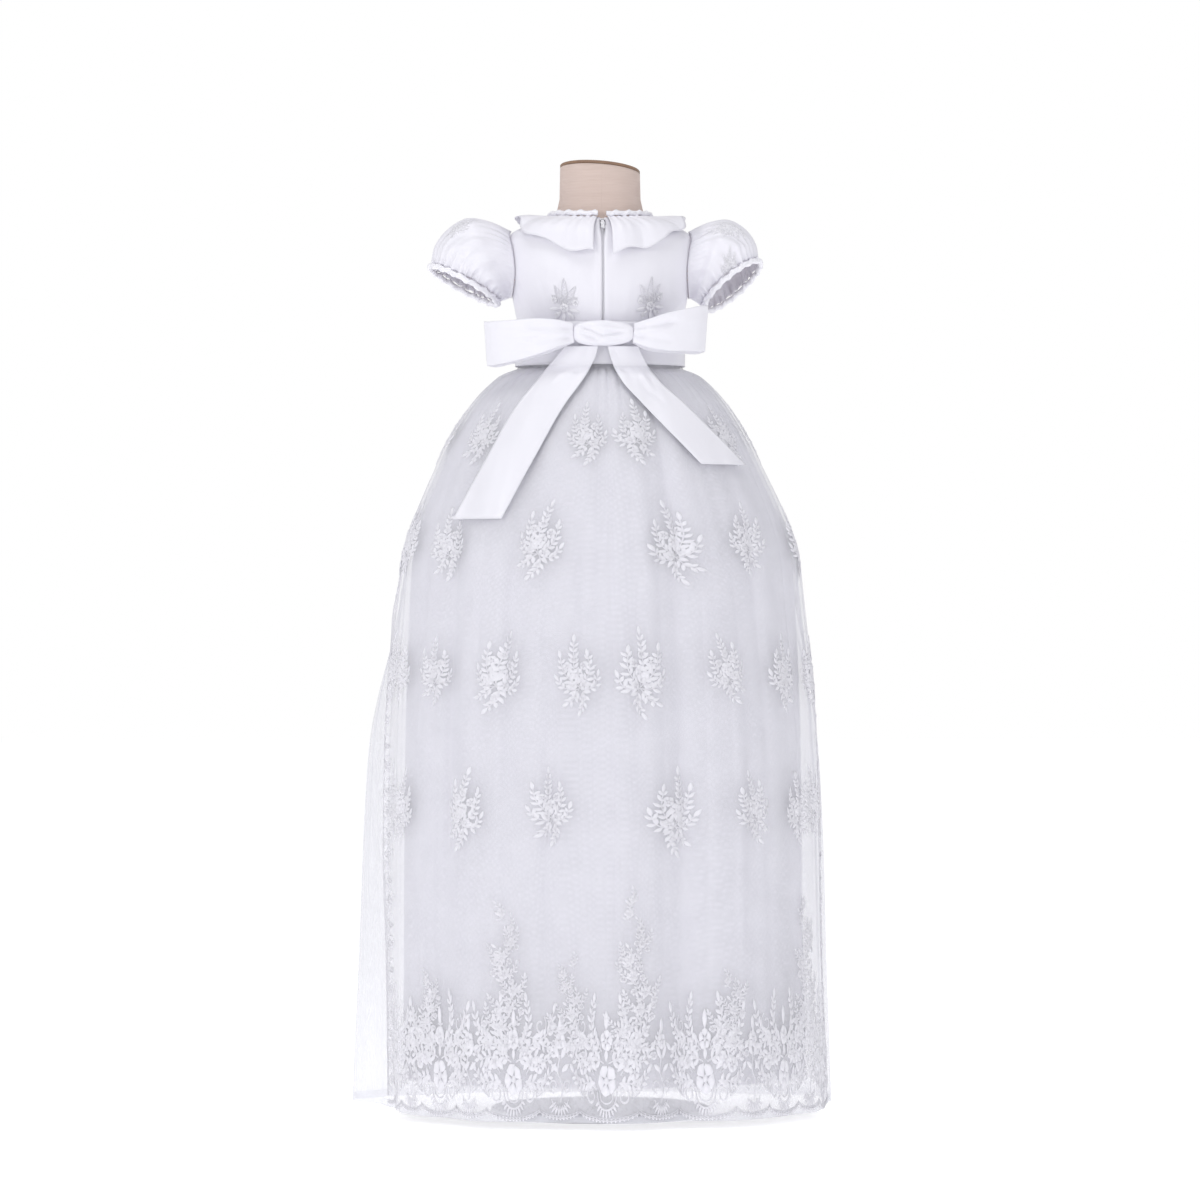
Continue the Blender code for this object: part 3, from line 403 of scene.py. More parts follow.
def satin_finish(name, low, high, roughness, weave=0.00045):
    shader = Shader(name, sheen_weight=0.15, sheen_roughness=0.4)
    across, down = shader.cloth_uv()
    twill = wave(across + down * 0.5, weave) * 0.5 + wave(down, weave * 1.7) * 0.25
    soft = shader.noise(38.0, 3.0)
    slub = shader.noise(420.0, 2.0)
    shader.tint(soft * 0.7 + slub * 0.3, low, high)
    shader.feed("Roughness", soft * 0.12 + (roughness - 0.06))
    shader.bump(twill * 0.12 + slub * 0.5 + soft * 2.0, 0.00025, 0.8)
    return shader.material


def net_finish(name, colour, cell, hole, thread, least):
    """Sheer net: hexagonal holes between fine threads."""
    shader = Shader(name, roughness=0.6, sheen_weight=0.1)
    across, down = shader.cloth_uv()
    first = wave(across, cell)
    second = wave(across * 0.5 + down * 0.866, cell)
    third = wave(across * 0.5 - down * 0.866, cell)
    lattice = (first + second + third) / 3.0
    open_part = shader.node(
        "ShaderNodeMapRange", {"interpolation_type": "SMOOTHSTEP"},
        {0: lattice, 1: hole - 0.12, 2: hole + 0.12, 3: thread, 4: least})
    cloudy = shader.noise(30.0, 2.0)
    shader.feed("Alpha", open_part * (cloudy * 0.3 + 0.85))
    shader.tint(cloudy, tuple(0.97 * c for c in colour), colour)
    return shader.material


def thread_finish(name, low, high, pitch=0.0006):
    """Matt embroidery whose threads lie across each petal."""
    shader = Shader(name, roughness=0.62, sheen_weight=0.25, sheen_roughness=0.5)
    across, down = shader.cloth_uv()
    strands = wave(down + across * 0.35, pitch)
    patchy = shader.noise(160.0, 2.0)
    shader.tint(patchy, low, high)
    shader.bump(strands * 0.5 + patchy, 0.00012, 0.7)
    return shader.material


def linen_finish():
    shader = Shader("linen_cover", sheen_weight=0.1)
    across, down = shader.cloth_uv()
    weft = wave(down, 0.0011)
    warp = wave(across, 0.0010)
    stretched = shader.node(
        "ShaderNodeMapping", {"vector_type": "POINT"}, {0: shader.place(), 3: (40.0, 40.0, 700.0)})
    slubs = shader.noise(1.0, 3.0, stretched)
    soft = shader.noise(26.0, 3.0)
    shader.tint(slubs * 0.6 + soft * 0.4, (0.69, 0.53, 0.465), (0.87, 0.725, 0.665))
    shader.feed("Roughness", soft * 0.1 + 0.74)
    shader.bump(weft * 0.4 + warp * 0.4 + slubs * 1.5, 0.0003, 0.9)
    return shader.material


def wood_finish():
    shader = Shader("stained_rim")
    stretched = shader.node(
        "ShaderNodeMapping", {"vector_type": "POINT"}, {0: shader.place(), 3: (30.0, 220.0, 220.0)})
    grain = shader.noise(1.0, 4.0, stretched)
    shader.tint(grain, (0.16, 0.095, 0.06), (0.36, 0.22, 0.14))
    shader.feed("Roughness", grain * 0.2 + 0.4)
    shader.bump(grain, 0.0002, 0.6)
    return shader.material


def metal_finish(name, low, high, roughness, stretch):
    shader = Shader(name, metallic=1.0)
    stretched = shader.node("ShaderNodeMapping", {"vector_type": "POINT"}, {0: shader.place(), 3: stretch})
    brush = shader.noise(1.0, 3.0, stretched)
    shader.tint(brush, low, high)
    shader.feed("Roughness", brush * 0.18 + roughness)
    shader.bump(brush, 0.00005, 0.5)
    return shader.material


SATIN_CLOTH = satin_finish("gown_satin", (0.812, 0.800, 0.862), (0.856, 0.844, 0.908), 0.42)
RIBBON_CLOTH = satin_finish("satin_ribbon", (0.822, 0.812, 0.872), (0.862, 0.852, 0.912), 0.34)
TULLE_NET = net_finish("plain_tulle", (0.88, 0.88, 0.94), 0.0011, -0.02, 0.52, 0.17)
LACE_NET = net_finish("lace_net", (0.90, 0.893, 0.94), 0.0014, 0.02, 0.60, 0.08)
# One embroidery thread in two copies: the bodice's and sleeves' copy is painted lighter, as painted light
# against the shade between its leaves, and the lace's copy darker, as painted shade for the skirt's duller
# tone.
THREAD = thread_finish("embroidery_thread", (0.815, 0.805, 0.862), (0.880, 0.870, 0.925))
LIT_BODICE_THREAD = thread_finish("bodice_thread_painted_lighter", (0.885, 0.875, 0.930), (0.940, 0.930, 0.980))
BRAID_CLOTH = thread_finish("ruched_braid", (0.85, 0.84, 0.90), (0.94, 0.93, 0.98), 0.0008)
ZIP_TAPE = satin_finish("zip_tape", (0.74, 0.73, 0.78), (0.84, 0.83, 0.88), 0.6, 0.0007)
LINEN = linen_finish()
RIM_WOOD = wood_finish()
STAND_STEEL = metal_finish("stand_steel", (0.46, 0.46, 0.48), (0.62, 0.62, 0.64), 0.28, (60.0, 60.0, 900.0))
ZIP_METAL = metal_finish("zip_nickel", (0.40, 0.40, 0.43), (0.58, 0.58, 0.60), 0.28, (900.0, 900.0, 400.0))


# Torso


SIZES = curves_of(TORSO)


def ease_at(height):
    return SIZES[4](height)


def torso_skin(height, turn):
    height, turn = np.broadcast_arrays(np.asarray(height, float), np.asarray(turn, float))
    angle = np.radians(turn)
    half_width, back, front, pull = (SIZES[place](height) for place in range(4))
    depth = np.where(np.cos(angle) >= 0, back, front)
    drop = (
        NECK_DROP_FRONT * ((1 - np.cos(angle)) / 2) ** 2
        + NECK_DROP_BACK * ((1 + np.cos(angle)) / 2) ** 2)
    return np.stack([half_width * np.sin(angle), depth * np.cos(angle), height - pull * drop], -1)


def torso_normal(height, turn):
    across = torso_skin(height, np.asarray(turn) + 1.0) - torso_skin(height, np.asarray(turn) - 1.0)
    down = torso_skin(np.asarray(height) - 0.0008, turn) - torso_skin(np.asarray(height) + 0.0008, turn)
    normal = np.cross(across, down)
    return normal / np.linalg.norm(normal, axis=-1, keepdims=True)


def on_torso(height, turn, out):
    return torso_skin(height, turn) + torso_normal(height, turn) * np.asarray(out)[..., None]


def turn_for_side(side, height):
    return np.degrees(np.arcsin(side / SIZES[0](height)))


def height_below_neck(distances, turns):
    """The heights that lie given distances down the skin from the neckline, a column to a turn."""
    heights = np.linspace(NECKLINE_Z, NECKLINE_Z - 0.06, 241)
    line = torso_skin(heights[:, None], turns[None])
    walked = np.concatenate([
        np.zeros((1, len(turns))), np.cumsum(np.linalg.norm(np.diff(line, axis=0), axis=-1), 0)])
    return np.stack([
        np.interp(distances[:, column], walked[:, column], heights) for column in range(len(turns))], 1)


# Gown pieces above the waist


def make_form():
    turns = np.arange(0, 360, 360 / 96)
    heights = np.concatenate([np.linspace(0.840, 0.79, 40), np.linspace(0.787, 0.600, 60)])
    body = torso_skin(heights[:, None], turns[None])
    angle = np.radians(turns)

    def neck_ring(height, radius=NECK_RADIUS):
        tilt = NECK_TILT_BACK * np.cos(angle) + NECK_TILT_SIDE * np.sin(angle)
        return np.stack(
            [radius * np.sin(angle), radius * np.cos(angle), height + tilt * radius / NECK_RADIUS], -1)

    neck = [neck_ring(NECK_TOP_Z) * share + body[0] * (1 - share) for share in np.linspace(1, 0, 14)[:-1]]
    top = [neck_ring(NECK_TOP_Z, NECK_RADIUS * share) for share in (0.02, 0.5, 0.9, 0.985)]
    foot = body[-1] * np.array([0.02, 0.02, 1.0])
    grid = np.concatenate([top, neck, body, [body[-1] * np.array([0.97, 0.97, 1.0]), foot]])
    add_piece("linen_form", grid_mesh("linen_form", grid, True), LINEN, replaces=["form_torso"])

    low, high = NECK_TOP_Z + SEAM, NECK_TOP_Z + SEAM + CAP_THICKNESS
    rings = [
        (high, 0.02), (high, 0.5), (high, 0.965), (high - 0.0002, 0.985), (high - 0.0008, 1.0),
        (low + 0.0008, 1.0), (low + 0.0002, 0.985), (low, 0.965), (low, 0.02),
    ]
    cap = np.array([neck_ring(height, NECK_RADIUS * share) for height, share in rings])
    add_piece(
        "neck_rim", grid_mesh("neck_rim", cap, True), RIM_WOOD, replaces=["form_neck_cap"])
    for node in ("form_pole", "form_base"):
        paint(node, STAND_STEEL)


def paint(node, material):
    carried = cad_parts[node]
    carried.data.materials.clear()
    carried.data.materials.append(material)


def clear_of_armhole(grid):
    middle = (grid[:-1, :-1] + grid[1:, 1:]) / 2
    inside = (
        ((middle[..., 2] - ARMHOLE_Z) / ARMHOLE_HALF_HEIGHT) ** 2
        + (middle[..., 1] / ARMHOLE_HALF_DEPTH) ** 2)
    return (inside > 1.0) | (np.abs(middle[..., 0]) < 0.05)


BACK_CREASES = {
    1: [
        ((0.010, 0.066, 0.742), (0.052, 0.052, 0.765), 0.0045, -0.0007),
        ((0.022, 0.064, 0.728), (0.030, 0.064, 0.772), 0.0040, 0.0006),
        ((0.048, 0.055, 0.726), (0.058, 0.048, 0.770), 0.0048, -0.0009),
        ((0.060, 0.045, 0.728), (0.074, 0.026, 0.752), 0.0042, 0.0007),
        ((0.028, 0.058, 0.788), (0.060, 0.036, 0.800), 0.0050, -0.0006),
        ((0.070, 0.032, 0.745), (0.078, 0.020, 0.765), 0.0035, -0.0009),
    ],
    -1: [
        ((-0.012, 0.066, 0.738), (-0.046, 0.054, 0.758), 0.0046, -0.0007),
        ((-0.020, 0.064, 0.730), (-0.026, 0.064, 0.768), 0.0036, 0.0006),
        ((-0.050, 0.054, 0.728), (-0.056, 0.049, 0.775), 0.0050, -0.0008),
        ((-0.062, 0.044, 0.730), (-0.076, 0.022, 0.748), 0.0040, 0.0006),
        ((-0.030, 0.057, 0.792), (-0.062, 0.034, 0.797), 0.0045, -0.0006),
    ],
}
FRONT_CREASES = [
    ((0.020, -0.066, 0.728), (0.028, -0.068, 0.775), 0.0050, -0.0007),
    ((-0.016, -0.066, 0.730), (-0.030, -0.067, 0.768), 0.0046, -0.0008),
    ((0.045, -0.056, 0.728), (0.060, -0.046, 0.765), 0.0044, 0.0007),
    ((-0.048, -0.055, 0.728), (-0.058, -0.048, 0.772), 0.0048, 0.0006),
    ((0.030, -0.060, 0.792), (0.062, -0.038, 0.798), 0.0050, -0.0006),
    ((-0.034, -0.058, 0.790), (-0.060, -0.040, 0.800), 0.0046, -0.0006),
    ((0.068, -0.034, 0.738), (0.078, -0.018, 0.760), 0.0038, -0.0008),
    ((-0.066, -0.036, 0.736), (-0.078, -0.016, 0.757), 0.0036, -0.0008),
]


def bodice_grid(first_turns, last_turns, heights, columns, edge=None):
    """Columns spread between two edges, given as a turn for each height."""
    share = np.linspace(0, 1, columns)[None]
    turns = first_turns[:, None] * (1 - share) + last_turns[:, None] * share
    out = ease_at(heights)[:, None] + SATIN + np.zeros_like(turns)
    if edge is not None:
        side = np.abs(torso_skin(heights[:, None], turns)[..., 0])
        out = out + 0.0007 * np.exp(-((side - edge) / 0.0024) ** 4)
    return on_torso(heights[:, None], turns, out)


def make_bodice():
    heights = np.concatenate([np.linspace(NECKLINE_Z, 0.79, 24), np.linspace(0.788, WAIST_Z, 42)])
    half_seam = math.degrees(SEAM / 2 / NECK_RADIUS)
    level = np.ones_like(heights)
    opened = np.clip((heights - 0.8020) / 0.0060, 0, 1)
    inner = turn_for_side(ZIP_LIP + (ZIP_HALF_WIDTH + SEAM - ZIP_LIP) * opened, heights)
    side = SIDE_SEAM_TURN * level
    panels = [
        ("back_panel_left", inner, side - half_seam, 1, "bodice_back_left", BACK_CREASES[1], 72),
        ("back_panel_right", -side + half_seam, -inner, -1, "bodice_back_right", BACK_CREASES[-1], 72),
        ("front_panel", side + half_seam, 360 - side - half_seam, 0, "bodice_front", FRONT_CREASES, 120),
    ]
    for name, first, last, word, node, creases, columns in panels:
        grid = bodice_grid(first, last, heights, columns, 0.0040 if word else None)
        grid = creased(grid, creases)
        made = cloth_piece(name, grid, SATIN_CLOTH, [node], keep=clear_of_armhole)
        flat = (0.175, 0.125) if word == 0 else (0.090, 0.125)
        flat[0] * flat[1] * 0.88
        embroider_panel(name)


def make_zip():
    heights = np.linspace(NECKLINE_Z - 0.0005, WAIST_Z, 60)
    edge = turn_for_side(ZIP_HALF_WIDTH, heights)
    share = np.linspace(-1, 1, 5)[None]
    out = ease_at(heights)[:, None] + ZIP_TAPE_OUT + 0 * share
    grid = on_torso(heights[:, None], edge[:, None] * share, out)
    cloth_piece("zip_tape", grid, ZIP_TAPE, ["zip_strip"])
    builder = Builder()
    for place, height in enumerate(np.arange(NECKLINE_Z - 0.0120, 0.7265, -ZIP_TOOTH_PITCH)):
        side = 1 if place % 2 else -1
        turns = np.degrees(np.arcsin(np.array([-0.00022, 0.00055]) * side / SIZES[0](height)))
        block = [
            on_torso(np.array([height + rise] * 2), turns, np.full(2, ease_at(height) + out))
            for rise, out in ((0.00038, 0.0006), (0.00038, 0.00125), (-0.00038, 0.00125), (-0.00038, 0.0006))
        ]
        builder.add(np.array(block), closed_rows=True)
    add_piece("zip_teeth", builder.mesh("zip_teeth"), BRAID_CLOTH)
    for node in ("zip_slider", "zip_pull"):
        paint(node, ZIP_METAL)


class Builder:
    """Small raised patches gathered into one mesh."""

    def __init__(self):
        self.points, self.faces, self.uvs, self.count = [], [], [], 0

    def add(self, patch, closed_rows=False, uv=None):
        rows, columns = patch.shape[:2]
        if uv is None:
            uv = np.stack(np.meshgrid(
                np.linspace(0, 0.004, rows), np.linspace(0, 0.004, columns), indexing="ij"), -1)
        for row in range(rows if closed_rows else rows - 1):
            after = (row + 1) % rows
            for column in range(columns - 1):
                corners = [(row, column), (row, column + 1), (after, column + 1), (after, column)]
                self.faces.append([self.count + r * columns + c for r, c in corners])
                self.uvs.extend(uv[r, c] for r, c in corners)
        self.points.append(patch.reshape(-1, 3))
        self.count += rows * columns

    def mesh(self, name):
        return mesh_from(name, np.concatenate(self.points), self.faces, np.array(self.uvs))




def make_collar():
    split = float(turn_for_side(COLLAR_HALF_SPLIT, NECKLINE_Z))
    turns = np.linspace(split, 360 - split, 360)
    shares = np.linspace(0, 1, 18)
    share = shares[:, None] + 0 * turns[None]
    turn = np.radians(turns)[None]
    shifted = COLLAR_WAVES * turn + 0.55 * np.sin(3 * turn + 0.4) + 0.35 * np.sin(5 * turn)
    length = 1.0 + 0.075 * np.cos(shifted + 0.9) + 0.05 * np.sin(2.3 * turn + 0.7)
    length = length + COLLAR_BACK_LENGTH * np.clip(np.cos(turn), 0, 1) ** 1.5
    heights = height_below_neck(COLLAR_DEPTH * share * (1 + (length - 1) * share), turns)
    shoulder = np.sin(turn) ** 2
    lift = (0.0016 + 0.0046 * shoulder) * share
    uneven = 1.0 + 0.32 * np.cos(2.7 * turn + 1.0) + 0.18 * np.cos(5.3 * turn)
    ruffle = 2 * COLLAR_WAVE * uneven * np.abs(np.sin(shifted / 2)) ** 0.75 * share ** 1.15
    fine = 0.00055 * (1 + np.cos(3.9 * shifted + 1.7)) * (1 - share)
    out = ease_at(heights) + 2 * SATIN + LAY + lift + ruffle + fine
    grid = on_torso(heights, np.broadcast_to(turns[None], heights.shape), out)
    made = cloth_piece("ruffle_collar", grid, SATIN_CLOTH, ["collar"])
    make_neck_braid()


def braid(name, path, ups, around, ruches, replaces):
    """Ruched braid: plump puffs between its stitches, with slanting pleats."""
    sides, count = 12, len(path)
    before = np.roll(path, 1, 0) if around else np.concatenate([path[:1], path[:-1]])
    after = np.roll(path, -1, 0) if around else np.concatenate([path[1:], path[-1:]])
    along = after - before
    along /= np.linalg.norm(along, axis=1, keepdims=True)
    out = np.cross(ups, along)
    out /= np.linalg.norm(out, axis=1, keepdims=True)
    up = np.cross(along, out)
    angle = np.arange(sides) * 2 * math.pi / sides
    share = np.arange(count)[:, None] / (count if around else count - 1)
    turn = 2 * math.pi * ruches * share
    uneven = 0.5 * np.sin(turn / 3.1) + 0.4 * np.sin(turn / 7.3)
    pleat = (0.5 + 0.5 * np.cos(turn + 2 * angle[None] + uneven)) ** 0.7
    fine = 0.05 * np.cos(3 * turn + 3 * angle[None])
    radius = BRAID_RADIUS * (0.78 + 0.24 * pleat + fine)
    grid = path[:, None] + radius[..., None] * (
        out[:, None] * np.cos(angle)[None, :, None] + up[:, None] * np.sin(angle)[None, :, None])
    grid = grid + up[:, None] * (0.0006 * np.sin(turn * 0.5))[..., None]
    if around:
        grid = np.concatenate([grid, grid[:1]])
    else:
        ends = grid[[0, -1]].mean(1)[:, None]
        grid = np.concatenate([ends[0:1] + 0 * grid[:1], grid, ends[1:2] + 0 * grid[:1]])
    mesh = grid_mesh(name, grid, True)
    return add_piece(name, mesh, BRAID_CLOTH, replaces=replaces)


def make_neck_braid():
    split = float(turn_for_side(NECK_BRAID_HALF_SPLIT - 0.0010, NECKLINE_Z))
    turns = np.linspace(split, 360 - split, 44 * 9 + 1)
    rise = 0.0023 + 0.00045 + LAY
    height = np.full_like(turns, NECKLINE_Z)
    edge = on_torso(height, turns, rise + NECK_BRAID_CLEAR + 0 * turns)
    up = torso_skin(height + 0.002, turns) - torso_skin(height - 0.001, turns)
    up /= np.linalg.norm(up, axis=1, keepdims=True)
    ups = np.tile([0.0, 0.0, 1.0], (len(turns), 1))
    return braid("neck_trim", edge + up * (rise - 0.0005), ups, False, 44, ["neck_braid"])


# top out, top height, under out, under height, half depth, turn of the mouth to the back
SLEEVES = {
    "left": (1, np.array([
        (0.1040, 0.8195, 0.0835, 0.7482, 0.0330, 0.0),
        (0.1220, 0.8215, 0.0860, 0.7475, 0.0385, 0.0),
        (0.1395, 0.8115, 0.0885, 0.7470, 0.0400, 3.0),
        (0.1505, 0.7970, 0.0905, 0.7466, 0.0375, 5.0),
        (0.1545, 0.7800, 0.0925, 0.7460, 0.0320, 6.0),
    ])),
    "right": (-1, np.array([
        (0.1030, 0.8190, 0.0838, 0.7475, 0.0330, 0.0),
        (0.1180, 0.8205, 0.0865, 0.7460, 0.0385, 4.0),
        (0.1335, 0.8120, 0.0892, 0.7445, 0.0400, 9.0),
        (0.1425, 0.7995, 0.0917, 0.7428, 0.0375, 13.0),
        (0.1455, 0.7842, 0.0940, 0.7412, 0.0320, 16.0),
    ])),
}
SLEEVE_COLUMNS = 224


def sleeve_rings(side, sections):
    """The armhole's ring and one for each section, without gathers."""
    angle = 2 * math.pi * np.arange(SLEEVE_COLUMNS) / SLEEVE_COLUMNS
    height = ARMHOLE_Z + (ARMHOLE_HALF_HEIGHT + SLEEVE_LAP) * np.cos(angle)
    back = (ARMHOLE_HALF_DEPTH + SLEEVE_LAP) * np.sin(angle)
    depth = np.where(back >= 0, SIZES[1](height), SIZES[2](height))
    turn = np.degrees(np.arccos(back / depth)) * side
    rings = [on_torso(height, turn, ease_at(height) + 2 * SATIN + LAY)]
    for top_out, top_height, under_out, under_height, half_depth, face_back in sections:
        top = np.array([side * top_out, 0, top_height])
        under = np.array([side * under_out, 0, under_height])
        long_way = (top - under) / 2
        along = np.cross([0, 1, 0], long_way)
        along *= side / np.linalg.norm(along)
        tilt = math.radians(face_back)
        backwards = np.array([0, math.cos(tilt), 0]) - along * math.sin(tilt)
        rings.append(
            (top + under) / 2 + long_way * np.cos(angle)[:, None]
            + backwards * half_depth * np.sin(angle)[:, None])
    return np.array(rings), angle


SLEEVE_CREASES = {
    "left": [
        ((0.112, 0.030, 0.806), (0.140, 0.022, 0.800), 0.0050, -0.0022),
        ((0.100, 0.036, 0.792), (0.136, 0.036, 0.780), 0.0060, -0.0020),
        ((0.098, 0.034, 0.776), (0.128, 0.034, 0.762), 0.0050, -0.0024),
        ((0.108, 0.036, 0.800), (0.146, 0.026, 0.788), 0.0042, 0.0016),
        ((0.096, 0.030, 0.765), (0.112, 0.030, 0.752), 0.0046, -0.0018),
        ((0.120, -0.030, 0.805), (0.146, -0.022, 0.792), 0.0055, -0.0020),
        ((0.100, -0.036, 0.788), (0.136, -0.034, 0.772), 0.0060, -0.0024),
        ((0.098, -0.032, 0.768), (0.120, -0.032, 0.755), 0.0048, -0.0018),
    ],
    "right": [
        ((-0.110, 0.030, 0.808), (-0.132, 0.024, 0.802), 0.0048, -0.0020),
        ((-0.100, 0.037, 0.794), (-0.130, 0.036, 0.784), 0.0058, -0.0024),
        ((-0.098, 0.035, 0.778), (-0.124, 0.034, 0.766), 0.0052, -0.0018),
        ((-0.106, 0.036, 0.801), (-0.138, 0.026, 0.792), 0.0042, 0.0018),
        ((-0.096, 0.030, 0.764), (-0.110, 0.030, 0.750), 0.0046, -0.0020),
        ((-0.116, -0.030, 0.806), (-0.138, -0.022, 0.796), 0.0055, -0.0022),
        ((-0.100, -0.036, 0.790), (-0.130, -0.034, 0.776), 0.0060, -0.0020),
        ((-0.098, -0.032, 0.770), (-0.116, -0.032, 0.756), 0.0048, -0.0020),
    ],
}


def pleats(angle, count, seed):
    """Uneven sharp-topped pleats round a circle, from 0 to 1."""
    rng = random.Random(seed)
    drift = sum(
        rng.uniform(0.15, 0.5) * np.sin(k * angle + rng.uniform(0, 6.28)) for k in (2, 3, 5, 7))
    height = 0.75 + 0.25 * np.sin(4 * angle + rng.uniform(0, 6.28))
    return (0.5 + 0.5 * np.cos(count * angle + 1.6 * drift)) ** 1.4 * height


def make_sleeves():
    for word, (side, sections) in SLEEVES.items():
        rings, angle = sleeve_rings(side, sections)
        grid = finer(rings, 9)
        rows = len(grid)
        if side > 0:
            grid = grid[:, ::-1]
            angle = angle[::-1]
        down = np.linspace(0, 1, rows)[:, None]
        top = np.clip(0.35 + 0.65 * np.cos(angle), 0.1, 1.0)[None]
        cap = pleats(angle, 34, 3 + side)[None] * np.exp(-(down / 0.30) ** 2) * 0.0022 * top
        cuff = pleats(angle, 30, 9 + side)[None] * np.exp(-((1 - down) / 0.34) ** 2) * 0.0022
        between = pleats(angle, 11, 15 + side)[None] * np.sin(math.pi * down) * 0.0016
        puckers = cap + cuff + between - SLEEVE_SET_IN
        grid = grid + outward(grid, True) * puckers[..., None] * np.minimum(down * 18, 1)[..., None]
        grid = creased(grid, SLEEVE_CREASES[word], True)
        made = cloth_piece("puff_sleeve_" + word, grid, SATIN_CLOTH, ["sleeve_" + word], around=True)
        sprays = embroider_sleeve(word, grid)
        last, before = rings[-1], rings[-2]
        middle = last.mean(0)
        tilt = math.radians(sections[-1][5])
        top_point = np.array([side * sections[-1][0], 0, sections[-1][1]])
        under = np.array([side * sections[-1][2], 0, sections[-1][3]])
        face = np.cross([0, 1, 0], top_point - under)
        face *= side / np.linalg.norm(face)
        face = face * math.cos(tilt) + np.array([0, 1, 0]) * math.sin(tilt)
        face /= np.linalg.norm(face)
        if face @ (middle - before.mean(0)) < 0:
            face = -face
        points = 2 * 32 * 8
        share = np.arange(points) / points * SLEEVE_COLUMNS
        low = np.floor(share).astype(int) % SLEEVE_COLUMNS
        path = last[low] + (last[(low + 1) % SLEEVE_COLUMNS] - last[low]) * (share - np.floor(share))[:, None]
        path = path + face * 0.0028
        trim = braid("cuff_trim_" + word, path, np.tile(face, (points, 1)), True, 34, ["cuff_braid_" + word])


# Skirts


TURNS = np.arange(0, 360, 0.75)
LEVELS = np.concatenate([
    np.linspace(0.7053, 0.6835, 8), np.linspace(0.6820, 0.6500, 22), np.linspace(0.6470, 0.5900, 20),
    np.linspace(0.5850, 0.0065, 58)])
LINING_HEM_Z = 0.0360


class Sheeting:
    """A skirt's surface all the way round, which can be read at any turn and height."""

    chart_steps = (5.0, 0.010)

    def __init__(self, grid):
        columns = []
        for column in range(grid.shape[1]):
            line = grid[::-1, column]
            heights = np.maximum.accumulate(line[:, 2] + np.arange(len(line)) * 1e-9)
            columns.append(np.stack([
                np.interp(LEVELS[::-1], heights, line[:, 0])[::-1],
                np.interp(LEVELS[::-1], heights, line[:, 1])[::-1], LEVELS], -1))
        self.grid = np.stack(columns, 1)
        self.out = outward(self.grid, True)

    def read(self, table, turn, height):
        turn, height = np.broadcast_arrays(np.asarray(turn, float), np.asarray(height, float))
        column = (turn % 360) / 0.75
        low = np.floor(column).astype(int)
        across = (column - low)[..., None]
        low, high = low % len(TURNS), (low + 1) % len(TURNS)
        rising = LEVELS[::-1]
        place = np.clip(np.searchsorted(rising, height) - 1, 0, len(rising) - 2)
        up = np.clip((height - rising[place]) / (rising[place + 1] - rising[place]), 0, 1)[..., None]
        lower, upper = len(LEVELS) - 1 - place, len(LEVELS) - 2 - place
        bottom = table[lower, low] * (1 - across) + table[lower, high] * across
        top = table[upper, low] * (1 - across) + table[upper, high] * across
        return bottom * (1 - up) + top * up

    def at(self, turn, height, out=0.0):
        out = np.asarray(out, float)
        point = self.read(self.grid, turn, height)
        return point + self.read(self.out, turn, height) * out[..., None]

    def back_at(self, side, height):
        """The turn and the place on the back where the surface is a distance from the centre plane."""
        turns = np.linspace(-88, 88, 353)
        found = np.empty(np.broadcast(side, height).shape)
        sides, heights = np.broadcast_arrays(side, height)
        for place in np.ndindex(found.shape):
            line = self.at(turns, np.full_like(turns, heights[place]))
            found[place] = np.interp(sides[place], line[:, 0], turns)
        return found


def skirt_folds(turn, height, folds):
    """Soft vertical folds: turn, top, bottom, width in degrees and how far each stands out."""
    total = np.zeros(np.broadcast(turn, height).shape)
    for middle, top, bottom, width, depth in folds:
        away = (turn - middle + 180) % 360 - 180
        length = np.clip((top - height) / (top - bottom), 0, 1)
        total = total + depth * np.exp(-(away / width) ** 2) * np.sin(math.pi * length) ** 0.7
    return total


# The folds that the back shows, then uneven ones all the way round.
MAIN_FOLDS = [
    (-1.0, 0.640, 0.470, 4.5, -0.0035), (7.0, 0.660, 0.520, 3.6, 0.0028),
    (-22.0, 0.650, 0.500, 3.4, -0.0034), (-27.0, 0.660, 0.440, 3.2, 0.0034),
    (-38.0, 0.640, 0.360, 3.6, -0.0030), (25.0, 0.640, 0.380, 3.8, -0.0030),
    (33.0, 0.660, 0.300, 3.5, 0.0032), (48.0, 0.620, 0.200, 4.2, -0.0032),
    (-52.0, 0.620, 0.180, 4.0, 0.0034), (-13.0, 0.480, 0.120, 4.6, 0.0026),
    (14.0, 0.420, 0.060, 4.2, -0.0026), (61.0, 0.560, 0.050, 3.8, 0.0030),
]


def more_folds(seed, count, tops, bottoms, widths, depths):
    rng = random.Random(seed)
    folds = []
    for place in range(count):
        middle = 360 * (place + rng.uniform(-0.4, 0.4)) / count
        depth = rng.uniform(*depths) * (1 if rng.random() < 0.6 else -0.6)
        folds.append((middle, rng.uniform(*tops), rng.uniform(*bottoms), rng.uniform(*widths), depth))
    return folds


def waist_gathers(turn, height, count, seed, reach):
    """Fine gathers that fan out below the waist and fade."""
    fall = np.clip(0.6840 - height, 0, None)
    grow = np.clip(fall / 0.006, 0.25, 1)
    return pleats(np.radians(turn), count, seed) * grow * np.exp(-(fall / reach) ** 1.3)


